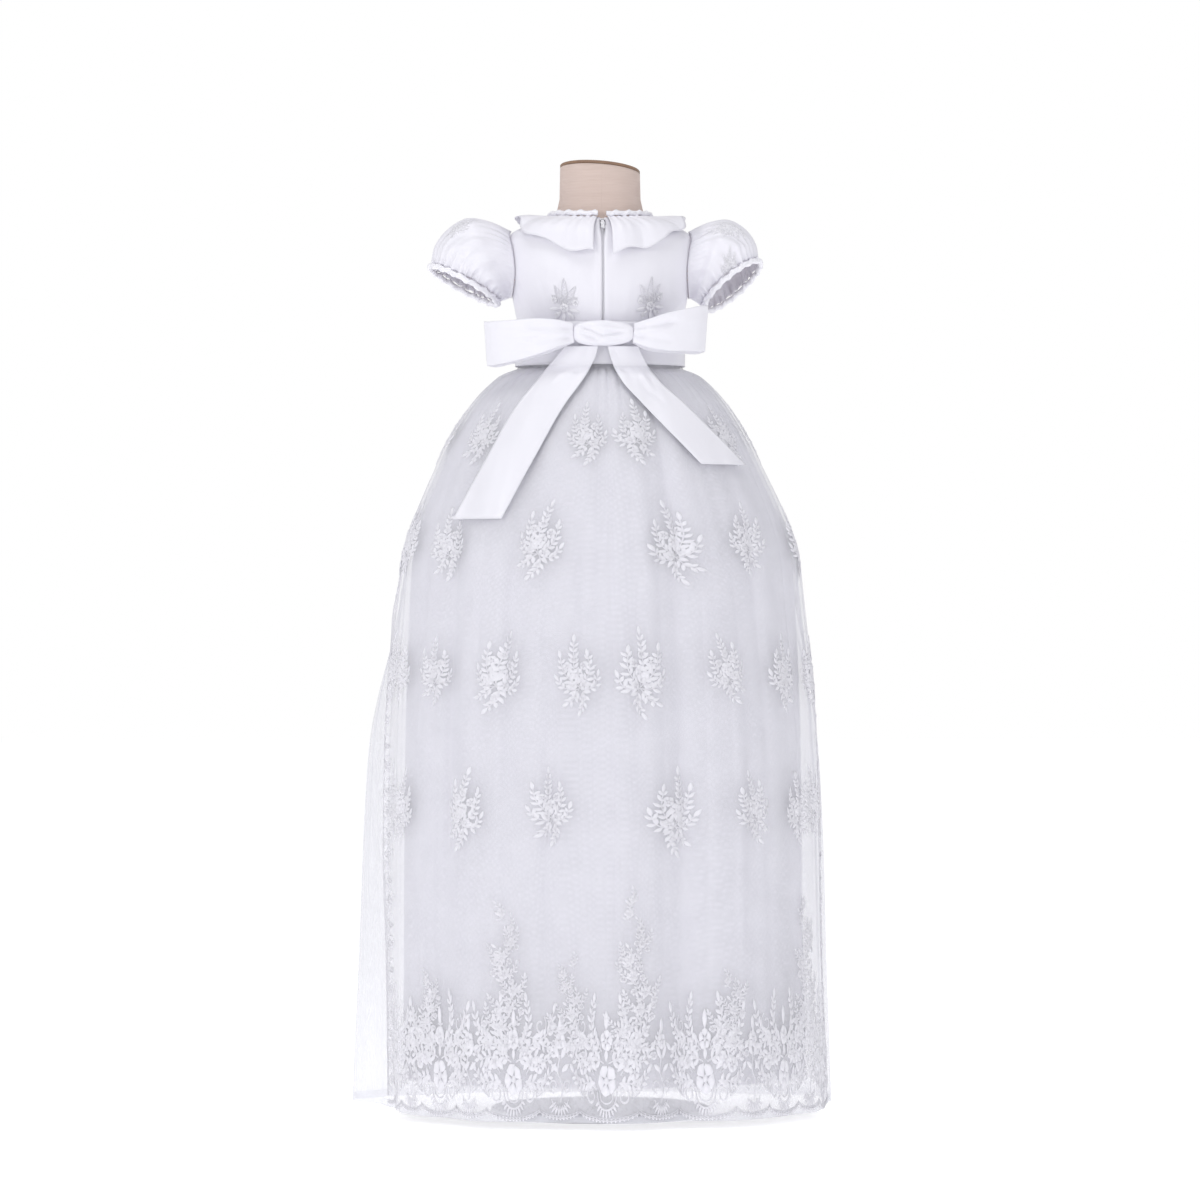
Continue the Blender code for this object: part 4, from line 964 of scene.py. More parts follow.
def make_skirts():
    turn, height = TURNS[None], LEVELS[:, None]
    angle = np.radians(turn)
    across, back = np.sin(angle), np.cos(angle)
    left, right, depth, fold = (curve(height) for curve in curves_of(LINING))
    width = np.where(across >= 0, left, right)
    waves = fold * (np.cos(9 * angle + 0.5) + 0.6 * np.cos(14 * angle + 2.0))
    grid = np.stack(np.broadcast_arrays(
        (width + waves) * across, (depth + waves) * back, height + 0 * turn), -1)
    soft = skirt_folds(turn, height, MAIN_FOLDS) * 0.8
    lining_folds = more_folds(5, 34, (0.60, 0.68), (0.02, 0.45), (2.6, 5.0), (0.0013, 0.0033))
    soft = soft + skirt_folds(turn, height, lining_folds)
    soft = soft + 0.0013 * waist_gathers(turn, height, 64, 21, 0.050)
    below = np.clip((0.6835 - height) / 0.006, 0, 1)
    grid = grid + outward(grid, True) * (soft * below)[..., None]
    lining_sheet = Sheeting(grid + outward(grid, True) * SATIN)

    wide_left, wide_right, deep_back, deep_front, flare_left, flare_right, fold = (
        curve(height) for curve in curves_of(TULLE))
    away = np.abs((turn + 180) % 360 - 180)
    flare_share = np.where(away <= 88, 0.0, np.sin(math.pi * (away - 88) / 92) ** 2)
    wide = np.where(across >= 0, wide_left, wide_right)
    flare = np.where(across >= 0, flare_left, flare_right)
    deep = np.where(back >= 0, deep_back, deep_front)
    waves = fold * (1.6 + np.cos(11 * angle + 0.6) + 0.6 * np.cos(17 * angle + 2.1))
    tulle_folds = more_folds(11, 58, (0.50, 0.69), (-0.05, 0.10), (1.3, 2.8), (0.0008, 0.0030))
    flutes = np.abs(skirt_folds(turn, height, tulle_folds))
    flutes = flutes + 0.0011 * waist_gathers(turn, height, 76, 31, 0.045)
    move = np.stack(np.broadcast_arrays(
        (wide + waves) * across + np.copysign(flare, across) * flare_share,
        (deep + waves) * back, 0 * angle), -1)
    tulle = lining_sheet.grid + lining_sheet.out * 2 * LAY + move
    tulle = tulle + outward(tulle, True) * (flutes * below)[..., None]
    tulle_sheet = Sheeting(tulle + outward(tulle, True) * (NET / 2))

    gap = curves_of(LACE)[0](height)
    lace = tulle_sheet.grid + tulle_sheet.out * (gap + NET / 2)[..., None]
    lace_gathers = 0.0009 * waist_gathers(turn, height, 70, 41, 0.050) * below
    lace = lace + outward(lace, True) * lace_gathers[..., None]
    return lining_sheet, tulle_sheet, Sheeting(lace)


def scallop_drop(turn):
    """How low the lace's edge hangs: wide lobes with small fans between them."""
    place = (np.asarray(turn, float) / 3.75 + 2) % 7
    lobe = np.sin(math.pi * np.clip(place / 4, 0, 1)) ** 0.55
    fan = 0.78 * np.sin(math.pi * np.clip((place - 4) / 3, 0, 1)) ** 0.5
    return np.where(place < 4, lobe, fan)


def lace_edge_z(turn):
    return 0.0165 - 0.0085 * scallop_drop(turn)


def dress_skirts(lining_sheet, tulle_sheet, lace_sheet):
    rows = LEVELS[LEVELS > LINING_HEM_Z + 0.002]
    rows = np.concatenate([rows, [LINING_HEM_Z + 0.0012, LINING_HEM_Z]])
    grid = lining_sheet.at(TURNS[None, ::2], rows[:, None])
    lining = cloth_piece(
        "satin_lining", grid, SATIN_CLOTH, ["skirt_lining"], around=True, width=1.35)
    rows = np.concatenate([LEVELS[:-1], [0.0072, 0.0065]])
    turned_up = tulle_sheet.at(TURNS[None], np.array([[0.0075], [0.0105], [0.0135]]), -0.0004)
    grid = np.concatenate([tulle_sheet.at(TURNS[None], rows[:, None]), turned_up])
    tulle = cloth_piece(
        "plain_tulle_skirt", grid, TULLE_NET, ["tulle_skirt"], around=True, thickness=0, width=1.9)

    shares = np.linspace(-1, 1, 420)
    edge_turn = curves_of(LACE)[1]
    rows = LEVELS[LEVELS > 0.0200]
    turns = shares[None] * edge_turn(rows)[:, None]
    points = lace_sheet.at(turns, rows[:, None])
    hem_turn = shares * float(edge_turn(0.012))
    ends = lace_edge_z(hem_turn)
    steps = [0.020 + (ends - 0.020) * share for share in (0.35, 0.7, 1.0)]
    hem = np.array([lace_sheet.at(hem_turn, step) for step in steps])
    grid = np.concatenate([points, hem])
    net = cloth_piece("lace_net_overlay", grid, LACE_NET, ["lace_overlay"], thickness=0, width=1.4)
    embroider(lace_sheet)


# Sash and bow


LOOPS = {
    "left": (1, 4.0, [
        (0.0274, 0.0728, 0.7132, 0.0086), (0.0400, 0.0690, 0.7127, 0.0115), (0.0600, 0.0655, 0.7097, 0.0160),
        (0.0850, 0.0565, 0.7062, 0.0188), (0.1010, 0.0490, 0.7050, 0.0198), (0.1050, 0.0505, 0.7047, 0.0200),
        (0.1020, 0.0560, 0.7047, 0.0200), (0.0850, 0.0690, 0.7062, 0.0190), (0.0600, 0.0800, 0.7102, 0.0162),
        (0.0400, 0.0815, 0.7132, 0.0118), (0.0274, 0.0770, 0.7135, 0.0086)]),
    "right": (-1, -4.0, [
        (0.0274, 0.0728, 0.7132, 0.0086), (0.0380, 0.0692, 0.7127, 0.0120), (0.0550, 0.0665, 0.7142, 0.0165),
        (0.0750, 0.0600, 0.7165, 0.0195), (0.0895, 0.0535, 0.7182, 0.0208), (0.0935, 0.0550, 0.7185, 0.0210),
        (0.0900, 0.0610, 0.7185, 0.0210), (0.0750, 0.0725, 0.7167, 0.0196), (0.0550, 0.0805, 0.7145, 0.0168),
        (0.0380, 0.0812, 0.7132, 0.0122), (0.0274, 0.0770, 0.7135, 0.0086)]),
}
LOOP_CREASES = {
    "left": [
        ((0.028, 0.080, 0.7165), (0.070, 0.079, 0.7190), 0.0030, -0.0034),
        ((0.028, 0.080, 0.7105), (0.060, 0.080, 0.7045), 0.0026, -0.0030),
        ((0.028, 0.080, 0.7135), (0.058, 0.081, 0.7130), 0.0024, 0.0022),
        ((0.050, 0.080, 0.7100), (0.076, 0.076, 0.7090), 0.0034, -0.0020),
        ((0.070, 0.077, 0.7170), (0.098, 0.060, 0.7180), 0.0040, 0.0012),
        ((0.066, 0.078, 0.7000), (0.094, 0.064, 0.6960), 0.0045, -0.0010),
    ],
    "right": [
        ((-0.028, 0.080, 0.7165), (-0.066, 0.080, 0.7230), 0.0030, -0.0034),
        ((-0.028, 0.080, 0.7105), (-0.060, 0.080, 0.7060), 0.0026, -0.0030),
        ((-0.028, 0.080, 0.7135), (-0.056, 0.081, 0.7150), 0.0024, 0.0022),
        ((-0.046, 0.081, 0.7190), (-0.070, 0.078, 0.7260), 0.0034, -0.0020),
        ((-0.064, 0.078, 0.7230), (-0.086, 0.064, 0.7270), 0.0040, 0.0012),
        ((-0.062, 0.078, 0.7080), (-0.084, 0.066, 0.7060), 0.0045, -0.0010),
    ],
}
TAILS = {
    "left": (0.0016, [
        (0.0198, 0.7020, 0.0152, 0.0078), (0.0258, 0.6910, 0.0182, 0.0080), (0.0312, 0.6829, 0.0195, 0.0068),
        (0.0395, 0.6712, 0.0205, 0.0040), (0.0560, 0.6500, 0.0213, 0.0024), (0.0850, 0.6000, 0.0214, 0.0019),
        (0.1150, 0.5450, 0.0214, 0.0016)]),
    "right": (0.0024, [
        (-0.0178, 0.7020, 0.0142, 0.0078), (-0.0218, 0.6910, 0.0152, 0.0080),
        (-0.0255, 0.6829, 0.0160, 0.0068), (-0.0325, 0.6712, 0.0172, 0.0042),
        (-0.0530, 0.6500, 0.0195, 0.0026), (-0.1080, 0.5945, 0.0212, 0.0024)]),
}
TAIL_CREASES = {
    "left": [
        ((0.014, 0.076, 0.701), (0.030, 0.080, 0.664), 0.0028, -0.0022),
        ((0.024, 0.076, 0.701), (0.046, 0.082, 0.668), 0.0030, 0.0020),
        ((0.032, 0.076, 0.699), (0.052, 0.082, 0.676), 0.0024, -0.0016),
        ((0.060, 0.100, 0.640), (0.086, 0.118, 0.600), 0.0050, -0.0008),
        ((0.088, 0.118, 0.588), (0.112, 0.124, 0.552), 0.0055, 0.0008),
    ],
    "right": [
        ((-0.010, 0.076, 0.700), (-0.022, 0.080, 0.672), 0.0026, -0.0020),
        ((-0.020, 0.076, 0.700), (-0.042, 0.086, 0.662), 0.0028, 0.0020),
        ((-0.028, 0.076, 0.698), (-0.044, 0.084, 0.680), 0.0022, -0.0018),
        ((-0.022, 0.080, 0.672), (-0.052, 0.094, 0.652), 0.0030, -0.0016),
        ((-0.070, 0.104, 0.636), (-0.100, 0.120, 0.602), 0.0050, 0.0008),
    ],
}
KNOT = np.array([
    (-0.0268, 0.0026, 0.0050), (-0.0225, 0.0052, 0.0080), (-0.0120, 0.0074, 0.0106), (0.0000, 0.0080, 0.0117),
    (0.0120, 0.0076, 0.0112), (0.0225, 0.0054, 0.0087), (0.0268, 0.0028, 0.0056)])
KNOT_BACK = 0.0758
LOOP_LAG = 0.0016
KNOT_Z = 0.7134
KNOT_CREASES = [
    ((0.022, 0.082, 0.7200), (0.002, 0.083, 0.7120), 0.0022, -0.0036),
    ((0.002, 0.083, 0.7120), (-0.020, 0.083, 0.7140), 0.0021, -0.0036),
    ((0.020, 0.082, 0.7130), (0.004, 0.083, 0.7050), 0.0020, -0.0028),
    ((0.004, 0.083, 0.7220), (-0.022, 0.082, 0.7200), 0.0018, -0.0018),
    ((-0.004, 0.083, 0.7080), (-0.022, 0.082, 0.7060), 0.0018, -0.0018),
    ((0.010, 0.083, 0.7160), (-0.010, 0.084, 0.7165), 0.0026, 0.0014),
]


def make_sash():
    angle = np.radians(np.arange(0, 360, 1.2))
    rings = []
    for height, body_height, out in SASH:
        half_width, depth = SIZES[0](body_height), SIZES[1](body_height)
        out = out + SATIN
        rings.append(np.stack([
            (half_width + out) * np.sin(angle), (depth + out) * np.cos(angle),
            np.full_like(angle, height)], -1))
    grid = finer(rings, 9)
    creases = [
        ((0.030, 0.070, 0.7020), (0.070, 0.030, 0.6960), 0.0026, -0.0008),
        ((-0.030, 0.070, 0.7010), (-0.072, 0.026, 0.6970), 0.0028, -0.0008),
        ((0.028, 0.070, 0.7120), (0.060, 0.050, 0.7130), 0.0024, -0.0007),
        ((-0.028, 0.070, 0.7110), (-0.062, 0.048, 0.7140), 0.0024, -0.0007),
        ((0.060, -0.045, 0.7090), (0.010, -0.070, 0.7060), 0.0030, -0.0007),
        ((-0.050, -0.052, 0.7000), (0.000, -0.070, 0.6990), 0.0030, -0.0007),
    ]
    grid = creased(grid, creases, True)
    made = cloth_piece("waist_sash", grid, RIBBON_CLOTH, ["sash_band"], around=True)


def make_bow(lace_sheet):
    for word, (side, lean, stations) in LOOPS.items():
        lean = math.radians(lean)
        stations = np.array(stations)
        stations[1:5, 2] -= LOOP_LAG
        rows = []
        for share in np.linspace(1, -1, 5):
            reach = stations[:, 3] * share
            rows.append(np.stack([
                side * stations[:, 0] + reach * math.sin(lean), stations[:, 1] + 0 * reach,
                stations[:, 2] + reach * math.cos(lean)], -1))
        grid = finer_grid(np.array(rows), 6, 9)
        if side > 0:
            grid = grid[::-1]
        grid = grid + outward(grid, False) * SATIN
        grid = creased(grid, LOOP_CREASES[word])
        made = cloth_piece("bow_ear_" + word, grid, RIBBON_CLOTH, ["bow_loop_" + word])

    for word, (_, stations) in TAILS.items():
        stations = finer(np.array(stations), 12)
        share = np.linspace(-1, 1, 22)
        side = stations[:, :1] + stations[:, 2:3] * share[None]
        height = np.broadcast_to(stations[:, 1:2], side.shape)
        stand = stations[:, 3:4] * (1 + (side / 0.12) ** 2)
        turn = lace_sheet.back_at(side, height)
        flat = smoothed(lace_sheet.at(turn, height)[..., 1], 3)
        grid = np.stack([side, flat + stand + NET + SATIN, height], -1)
        grid = creased(grid, TAIL_CREASES[word])
        made = cloth_piece("bow_end_" + word, grid, RIBBON_CLOTH, ["bow_tail_" + word])

    stations = np.linspace(-0.0268, 0.0268, 64)
    depth, height = (gentle_curve(KNOT[:, 0], KNOT[:, column])(stations) for column in (1, 2))
    angle = np.arange(0, 360, 4.5) * math.pi / 180
    grid = np.stack([
        np.broadcast_to(stations[:, None], (len(stations), len(angle))),
        KNOT_BACK + depth[:, None] * np.cos(angle)[None],
        KNOT_Z + height[:, None] * np.sin(angle)[None]], -1)
    grid = creased(grid, KNOT_CREASES, True)
    ends = grid[[0, -1]].mean(1)
    grid = np.concatenate([[ends[0] + 0 * grid[0]], grid, [ends[1] + 0 * grid[0]]])[:, ::-1]
    mesh = grid_mesh("bow_knot_wrap", grid, True)
    made = add_piece("bow_knot_wrap", mesh, RIBBON_CLOTH, replaces=["bow_knot"])


def smoothed(values, times):
    """Takes the fine waves out of a table of depths."""
    for _ in range(times):
        padded = np.pad(values, 1, mode="edge")
        values = (
            padded[:-2, 1:-1] + padded[2:, 1:-1] + padded[1:-1, :-2] + padded[1:-1, 2:] + 2 * values) / 6
    return values


# Embroidery, in millimetres on a flat chart: X to the wearer's left, Y up. A leaf is (x, y, turn from
# upright, length, width), a flower (x, y, radius), a stem a line of points.


class Chart:
    """A place on a surface on which flat stitches are laid."""

    def __init__(self, surface, across, up, lean=0.0, scale=1.0, mirror=False):
        self.surface, self.across, self.up = surface, across, up
        self.lean, self.scale, self.flip = math.radians(lean), scale, -1.0 if mirror else 1.0
        step_across, step_up = surface.chart_steps
        here = [surface.at(np.array(across + dx), np.array(up + dy)) for dx, dy in (
            (-step_across, 0), (step_across, 0), (0, -step_up), (0, step_up))]
        self.per_across = 2 * step_across / np.linalg.norm(here[1] - here[0])
        self.per_up = 2 * step_up / np.linalg.norm(here[3] - here[2])

    def put(self, x, y, out):
        x, y = x * self.flip * self.scale * 0.001, y * self.scale * 0.001
        turned = x * math.cos(self.lean) + y * math.sin(self.lean)
        risen = -x * math.sin(self.lean) + y * math.cos(self.lean)
        return self.surface.at(
            self.across + turned * self.per_across, self.up + risen * self.per_up, out * self.scale * 0.001)


class Stitching(Builder):
    """Raised embroidery on a chart."""

    def __init__(self):
        super().__init__()
        self.rng = random.Random(7)

    def leaf(self, chart, x, y, angle, length, width, fullness=1.0, bend=0.0, rise=0.75):
        t = np.linspace(0.0, 1.0, 5)[:, None]
        s = np.array([1.0, 0.72, 0.0, -0.72, -1.0])[None]
        rim = np.array([0.0, 1.0, 0.45, 1.0, 0.0])[None]
        half = width / 2 * np.sin(math.pi * (0.02 + 0.96 * t) ** fullness) ** 0.75
        side = s * half + bend * length * t ** 2
        along = t * length + 0 * s
        angle = math.radians(angle)
        flat_x = x + side * math.cos(angle) + along * math.sin(angle)
        flat_y = y - side * math.sin(angle) + along * math.cos(angle)
        out = 0.15 + rise * rim * np.sin(math.pi * (0.06 + 0.88 * t)) ** 0.5
        uv = np.stack(np.broadcast_arrays(s * width * 0.0005, t * length * 0.001), -1)
        self.add(chart.put(flat_x, flat_y, out), uv=uv)

    def flower(self, chart, x, y, radius, petals=5, start=0.0):
        start += self.rng.uniform(0, 72)
        for petal in range(petals):
            angle = start + 360.0 * petal / petals
            reach = radius * self.rng.uniform(0.9, 1.08)
            near = 0.16 * radius
            self.leaf(
                chart, x + near * math.sin(math.radians(angle)), y + near * math.cos(math.radians(angle)),
                angle, reach - near, radius * 1.02, fullness=1.7, rise=0.95)
        self.leaf(chart, x, y - 0.26 * radius, 0.0, radius * 0.52, radius * 0.52, rise=1.5)

    def stem(self, chart, points, width=0.9, rise=0.6, steps=5):
        line = finer(np.array(points, float), steps)
        along = np.gradient(line, axis=0)
        along /= np.linalg.norm(along, axis=1, keepdims=True) + 1e-9
        side = np.stack([along[:, 1], -along[:, 0]], 1)
        s = np.array([-1.0, 0.0, 1.0])[None, :, None]
        flat = line[:, None] - s * side[:, None] * width / 2
        out = 0.12 + rise * np.array([0.0, 1.0, 0.0])[None] + 0 * flat[..., 0]
        self.add(chart.put(flat[..., 0], flat[..., 1], out))

    def scroll(self, chart, x, y, radius, start, turns, width=1.0):
        """A curl that winds in from its outer end."""
        share = np.linspace(0, 1, 9)
        angle = np.radians(start) + share * turns * 2 * math.pi
        reach = radius * (1 - 0.78 * share)
        points = np.stack([x + reach * np.sin(angle), y + reach * np.cos(angle)], 1)
        self.stem(chart, points, width, steps=3)

    def comb(self, chart, x, y, radius, length, ribs, spread, width):
        """Short ribs that fan out downwards from a point."""
        for rib in range(ribs):
            angle = 180 + spread * (2 * rib / (ribs - 1) - 1)
            way = math.radians(angle)
            self.leaf(
                chart, x + radius * math.sin(way), y + radius * math.cos(way), angle, length, width, rise=0.6)

    def hatched(self, chart, x, y, angle, length, width, bend):
        """A swept leaf made of an outline and short slanting bars."""
        way = math.radians(angle)
        t = np.linspace(0, 1, 6)
        for sign in (-1, 1):
            side = sign * width / 2 * np.sin(math.pi * t) + bend * length * t ** 2
            self.stem(chart, np.stack([
                x + side * math.cos(way) + t * length * math.sin(way),
                y - side * math.sin(way) + t * length * math.cos(way)], 1), 0.8, steps=3)
        for share in np.linspace(0.18, 0.82, 6):
            reach = width * 0.42 * math.sin(math.pi * share)
            middle = bend * length * share ** 2
            px = x + middle * math.cos(way) + share * length * math.sin(way)
            py = y - middle * math.sin(way) + share * length * math.cos(way)
            self.leaf(
                chart, px - reach * math.cos(way + 0.5), py + reach * math.sin(way + 0.5),
                angle + 90 + 28, 2 * reach, 0.9, rise=0.5)


SPRAY_STEMS = [
    [(0, -14), (3, -2), (2, 12), (-2, 31)], [(0, -14), (7, -6), (12, 4), (13, 18)],
    [(0, -14), (-7, -8), (-13, 1), (-14, 14)], [(0, -14), (9, -14), (15, -10), (19, -3)],
    [(0, -14), (-9, -16), (-15, -14), (-19, -7)], [(0, -13), (-3, -20), (-2, -27), (3, -34)],
    [(0, -13), (5, -18), (9, -23), (13, -25)],
]
SPRAY_FLOWERS = [
    (0, 0, 6.2), (8, 9, 4.4), (-8, 7, 4.6), (1, 15, 4.0), (-5, -12, 5.0), (7, -10, 4.2), (-1, -24, 3.6),
]


def leafy_stem(stitching, chart, points, leaf=8.6, spacing=5.2, width=1.0):
    """A stem with close pairs of leaves and one at its tip."""
    rng = stitching.rng
    stitching.stem(chart, points, width)
    line = finer(np.array(points, float), 6)
    walked = np.concatenate([[0], np.cumsum(np.linalg.norm(np.diff(line, axis=0), axis=1))])
    for distance in np.arange(spacing, walked[-1], spacing):
        x, y = (np.interp(distance, walked, line[:, column]) for column in (0, 1))
        ahead = [np.interp(distance + 1.0, walked, line[:, column]) for column in (0, 1)]
        way = math.degrees(math.atan2(ahead[0] - x, ahead[1] - y))
        length = leaf * (1.0 - 0.3 * distance / walked[-1])
        for side in (-1, 1):
            stitching.leaf(
                chart, x, y, way + side * rng.uniform(38, 62), length * rng.uniform(0.8, 1.1), length * 0.44,
                bend=-0.12 * side)
    tip = math.degrees(math.atan2(*(line[-1] - line[-3])))
    stitching.leaf(chart, line[-1, 0], line[-1, 1], tip, leaf, leaf * 0.42)


def spray(stitching, chart):
    """One scattered spray: leafy stems that meet in a flower, with smaller flowers between them."""
    for points in SPRAY_STEMS:
        leafy_stem(stitching, chart, points)
    for x, y, radius in SPRAY_FLOWERS:
        stitching.flower(chart, x, y, radius * stitching.rng.uniform(0.92, 1.1))


def leaf_fan(stitching, chart):
    """The bodice's spray: long outlined leaves that fan up from a small flower."""
    for angle, length in ((-50, 19), (-25, 27), (1, 32), (27, 26), (52, 20)):
        stitching.hatched(chart, 0, -7, angle, length, 6.6, math.copysign(0.05, angle))
    for x, y, angle, length in (
            (-6, -10, -100, 13), (6, -10, 96, 13), (-4, -13, -138, 12), (4, -13, 142, 12), (0, -14, 178, 12)):
        stitching.leaf(chart, x, y, angle, length, 4.8)
    stitching.flower(chart, 0, -9, 6.0)
    for x, y, radius in ((-13, -2, 3.8), (13, -1, 3.8), (-9, -18, 3.2), (9, -17, 3.2)):
        stitching.flower(chart, x, y, radius)


# distance to the left of the centre, height, lean, size: the sprays that the back shows
SPRAYS = [
    (0.016, 0.622, 8, 0.80), (-0.028, 0.624, -6, 0.84),
    (0.140, 0.523, 14, 0.86), (0.058, 0.526, -8, 0.95), (-0.060, 0.524, 6, 1.0), (-0.128, 0.528, -14, 0.86),
    (0.152, 0.409, 6, 0.78), (0.094, 0.408, -10, 0.98), (0.026, 0.406, 12, 0.92), (-0.029, 0.408, -4, 1.05),
    (-0.108, 0.411, 10, 0.84), (-0.162, 0.407, -8, 0.90),
    (0.128, 0.285, -6, 0.98), (0.050, 0.289, 10, 0.90), (-0.062, 0.284, -8, 1.02), (-0.132, 0.287, 8, 0.86),
    (-0.176, 0.284, 0, 0.84),
]
# The same on the sides, which the back hides: turn, height, lean, size
SIDE_SPRAYS = [
    (112, 0.620, 6, 0.80), (86, 0.624, -8, 0.84), (-112, 0.618, -6, 0.82), (-84, 0.625, 8, 0.80),
    (52, 0.623, 4, 0.8),
    (-54, 0.622, -6, 0.8), (100, 0.526, 8, 0.9), (-100, 0.522, -8, 0.9), (77, 0.527, -6, 0.88),
    (-79, 0.526, 6, 0.88),
    (95, 0.408, -8, 0.9), (-95, 0.405, 8, 0.9), (88, 0.287, 6, 0.9), (-90, 0.284, -6, 0.9),
    (75, 0.410, 6, 0.88), (-76, 0.406, -8, 0.88), (71, 0.286, -8, 0.88), (-72, 0.289, 8, 0.88),
]
# The tall sprays that rise from the hem: distance to the left, highest point, size
TREES = [
    (0.089, 0.205, 1.0), (-0.026, 0.207, 1.0), (-0.185, 0.205, 0.9), (0.158, 0.140, 0.9),
    (-0.112, 0.138, 0.95),
    (0.034, 0.150, 0.85),
]


def tree(stitching, surface, turn, top, size, rng):
    """Flowers and leaves up a waving stem, which narrows to its top."""
    height = 0.075
    place = 0
    while height < top:
        share = (height - 0.075) / (top - 0.075)
        lean = 16 * math.sin(2.1 * place + turn)
        chart = Chart(surface, turn + 2.0 * math.sin(1.7 * place), height, lean, size * (1.0 - 0.35 * share))
        leafy_stem(stitching, chart, [(-2, -11), (3, -4), (-2, 4), (2, 12)], 7.5, 4.6, 1.1)
        stitching.flower(chart, 0, 0, 4.8 * rng.uniform(0.9, 1.15))
        for sign in (-1, 1):
            if share < 0.75:
                reach = 1.25 - share
                leafy_stem(stitching, chart, [
                    (0, -2), (sign * 7 * reach, 2), (sign * 13 * reach, 7 + 2 * sign),
                    (sign * 15 * reach, 14)], 6.5, 4.4)
                stitching.flower(chart, sign * 13.0 * reach, -3 + 2 * sign, 3.8)
        height += 0.0165 * size * (1.0 - 0.25 * share)
        place += 1


def hem_unit(stitching, chart, mirror):
    """One repeat of the hem's border, whose origin is the lowest point of a wide scallop."""
    sign = -1 if mirror else 1
    stitching.comb(chart, 0, 13.5, 7.2, 5.0, 9, 64, 1.7)
    stitching.stem(chart, [(-9.2, 15.5), (-6.6, 8.6), (0, 6.0), (6.6, 8.6), (9.2, 15.5)], 1.1)
    stitching.stem(chart, [(-6.4, 16.0), (-4.8, 11.2), (0, 9.4), (4.8, 11.2), (6.4, 16.0)], 0.9)
    stitching.flower(chart, 0, 21, 8.4)
    for side in (-1, 1):
        stitching.scroll(chart, side * 14.5, 13.5, 6.0, -side * 60, side * 1.25, 1.3)
        stitching.flower(chart, side * 23.5, 27.0 + 1.2 * side * sign, 4.6)
        stitching.flower(chart, side * 16.5, 30.5, 3.6)
        stitching.leaf(chart, side * 9.5, 26, side * 42, 9.0, 3.8, bend=0.15 * side)
        stitching.leaf(chart, side * 11.0, 20, side * 95, 7.5, 3.2, bend=0.1 * side)
        stitching.hatched(chart, side * 21.5, 12.0, side * 30, 14.5, 6.2, 0.16 * side)
        stitching.scroll(chart, side * 8.5, 37.5, 6.6, side * 200, -side * 1.2, 1.1)
        stitching.scroll(chart, side * 24.5, 49.0, 5.4, side * 30, side * 1.1, 1.1)
        for sweep in (
                [(2, 30), (10, 33), (19, 40), (31, 38)], [(4, 36), (11, 41), (15, 50), (13, 60)],
                [(12, 24), (21, 33), (30, 31), (37, 36)], [(16, 43), (24, 42), (32, 46), (36, 55)],
                [(10, 18), (18, 20), (27, 19), (34, 25)]):
            leafy_stem(stitching, chart, [(side * x, y) for x, y in sweep], 6.6, 3.9, 0.9)
    stitching.flower(chart, 0, 41.5, 5.6)
    stitching.leaf(chart, 0, 47, 0, 10.0, 4.2)
    stitching.leaf(chart, 0, 31, 0, 6.0, 3.4)


def fan_unit(stitching, chart):
    """The small shell between two wide scallops."""
    stitching.comb(chart, 0, 12.5, 4.2, 7.2, 8, 58, 1.6)
    stitching.stem(chart, [(-7.6, 12.0), (-5.0, 7.6), (0, 5.6), (5.0, 7.6), (7.6, 12.0)], 0.9)
    stitching.stem(chart, [(0, 10), (-2.5, 19), (2.0, 28), (0, 38)], 1.3)
    for side in (-1, 1):
        stitching.scroll(chart, side * 5.6, 20, 4.4, side * 180, -side * 1.15, 1.1)
        stitching.leaf(chart, side * 1.5, 28, side * 48, 8.0, 3.4, bend=0.1 * side)
        stitching.leaf(chart, side * 1.0, 36, side * 30, 9.0, 3.8)
    stitching.flower(chart, 0, 46, 5.0)
    stitching.leaf(chart, 0, 51, 0, 9.0, 3.8)


def edge_cords(stitching, surface, last_turn):
    """Two cords and a row of loops along the scalloped edge."""
    turns = np.linspace(-last_turn, last_turn, 1300)
    for inset, width, rise in ((0.0006, 0.0011, 0.0009), (0.0026, 0.0009, 0.0007)):
        low = lace_edge_z(turns) + inset
        heights = np.stack([low + width, low + width / 2, low], 1)
        out = np.array([[0.0002, rise, 0.0002]])
        strip = surface.at(turns[:, None] + 0 * heights, heights, out + 0 * heights)
        stitching.add(strip[::-1])
    for turn in np.arange(-last_turn + 0.5, last_turn - 0.4, 0.95):
        chart = Chart(surface, turn, float(lace_edge_z(turn)))
        stitching.leaf(chart, 0, -0.6, 0, 2.6, 1.9, rise=0.8)


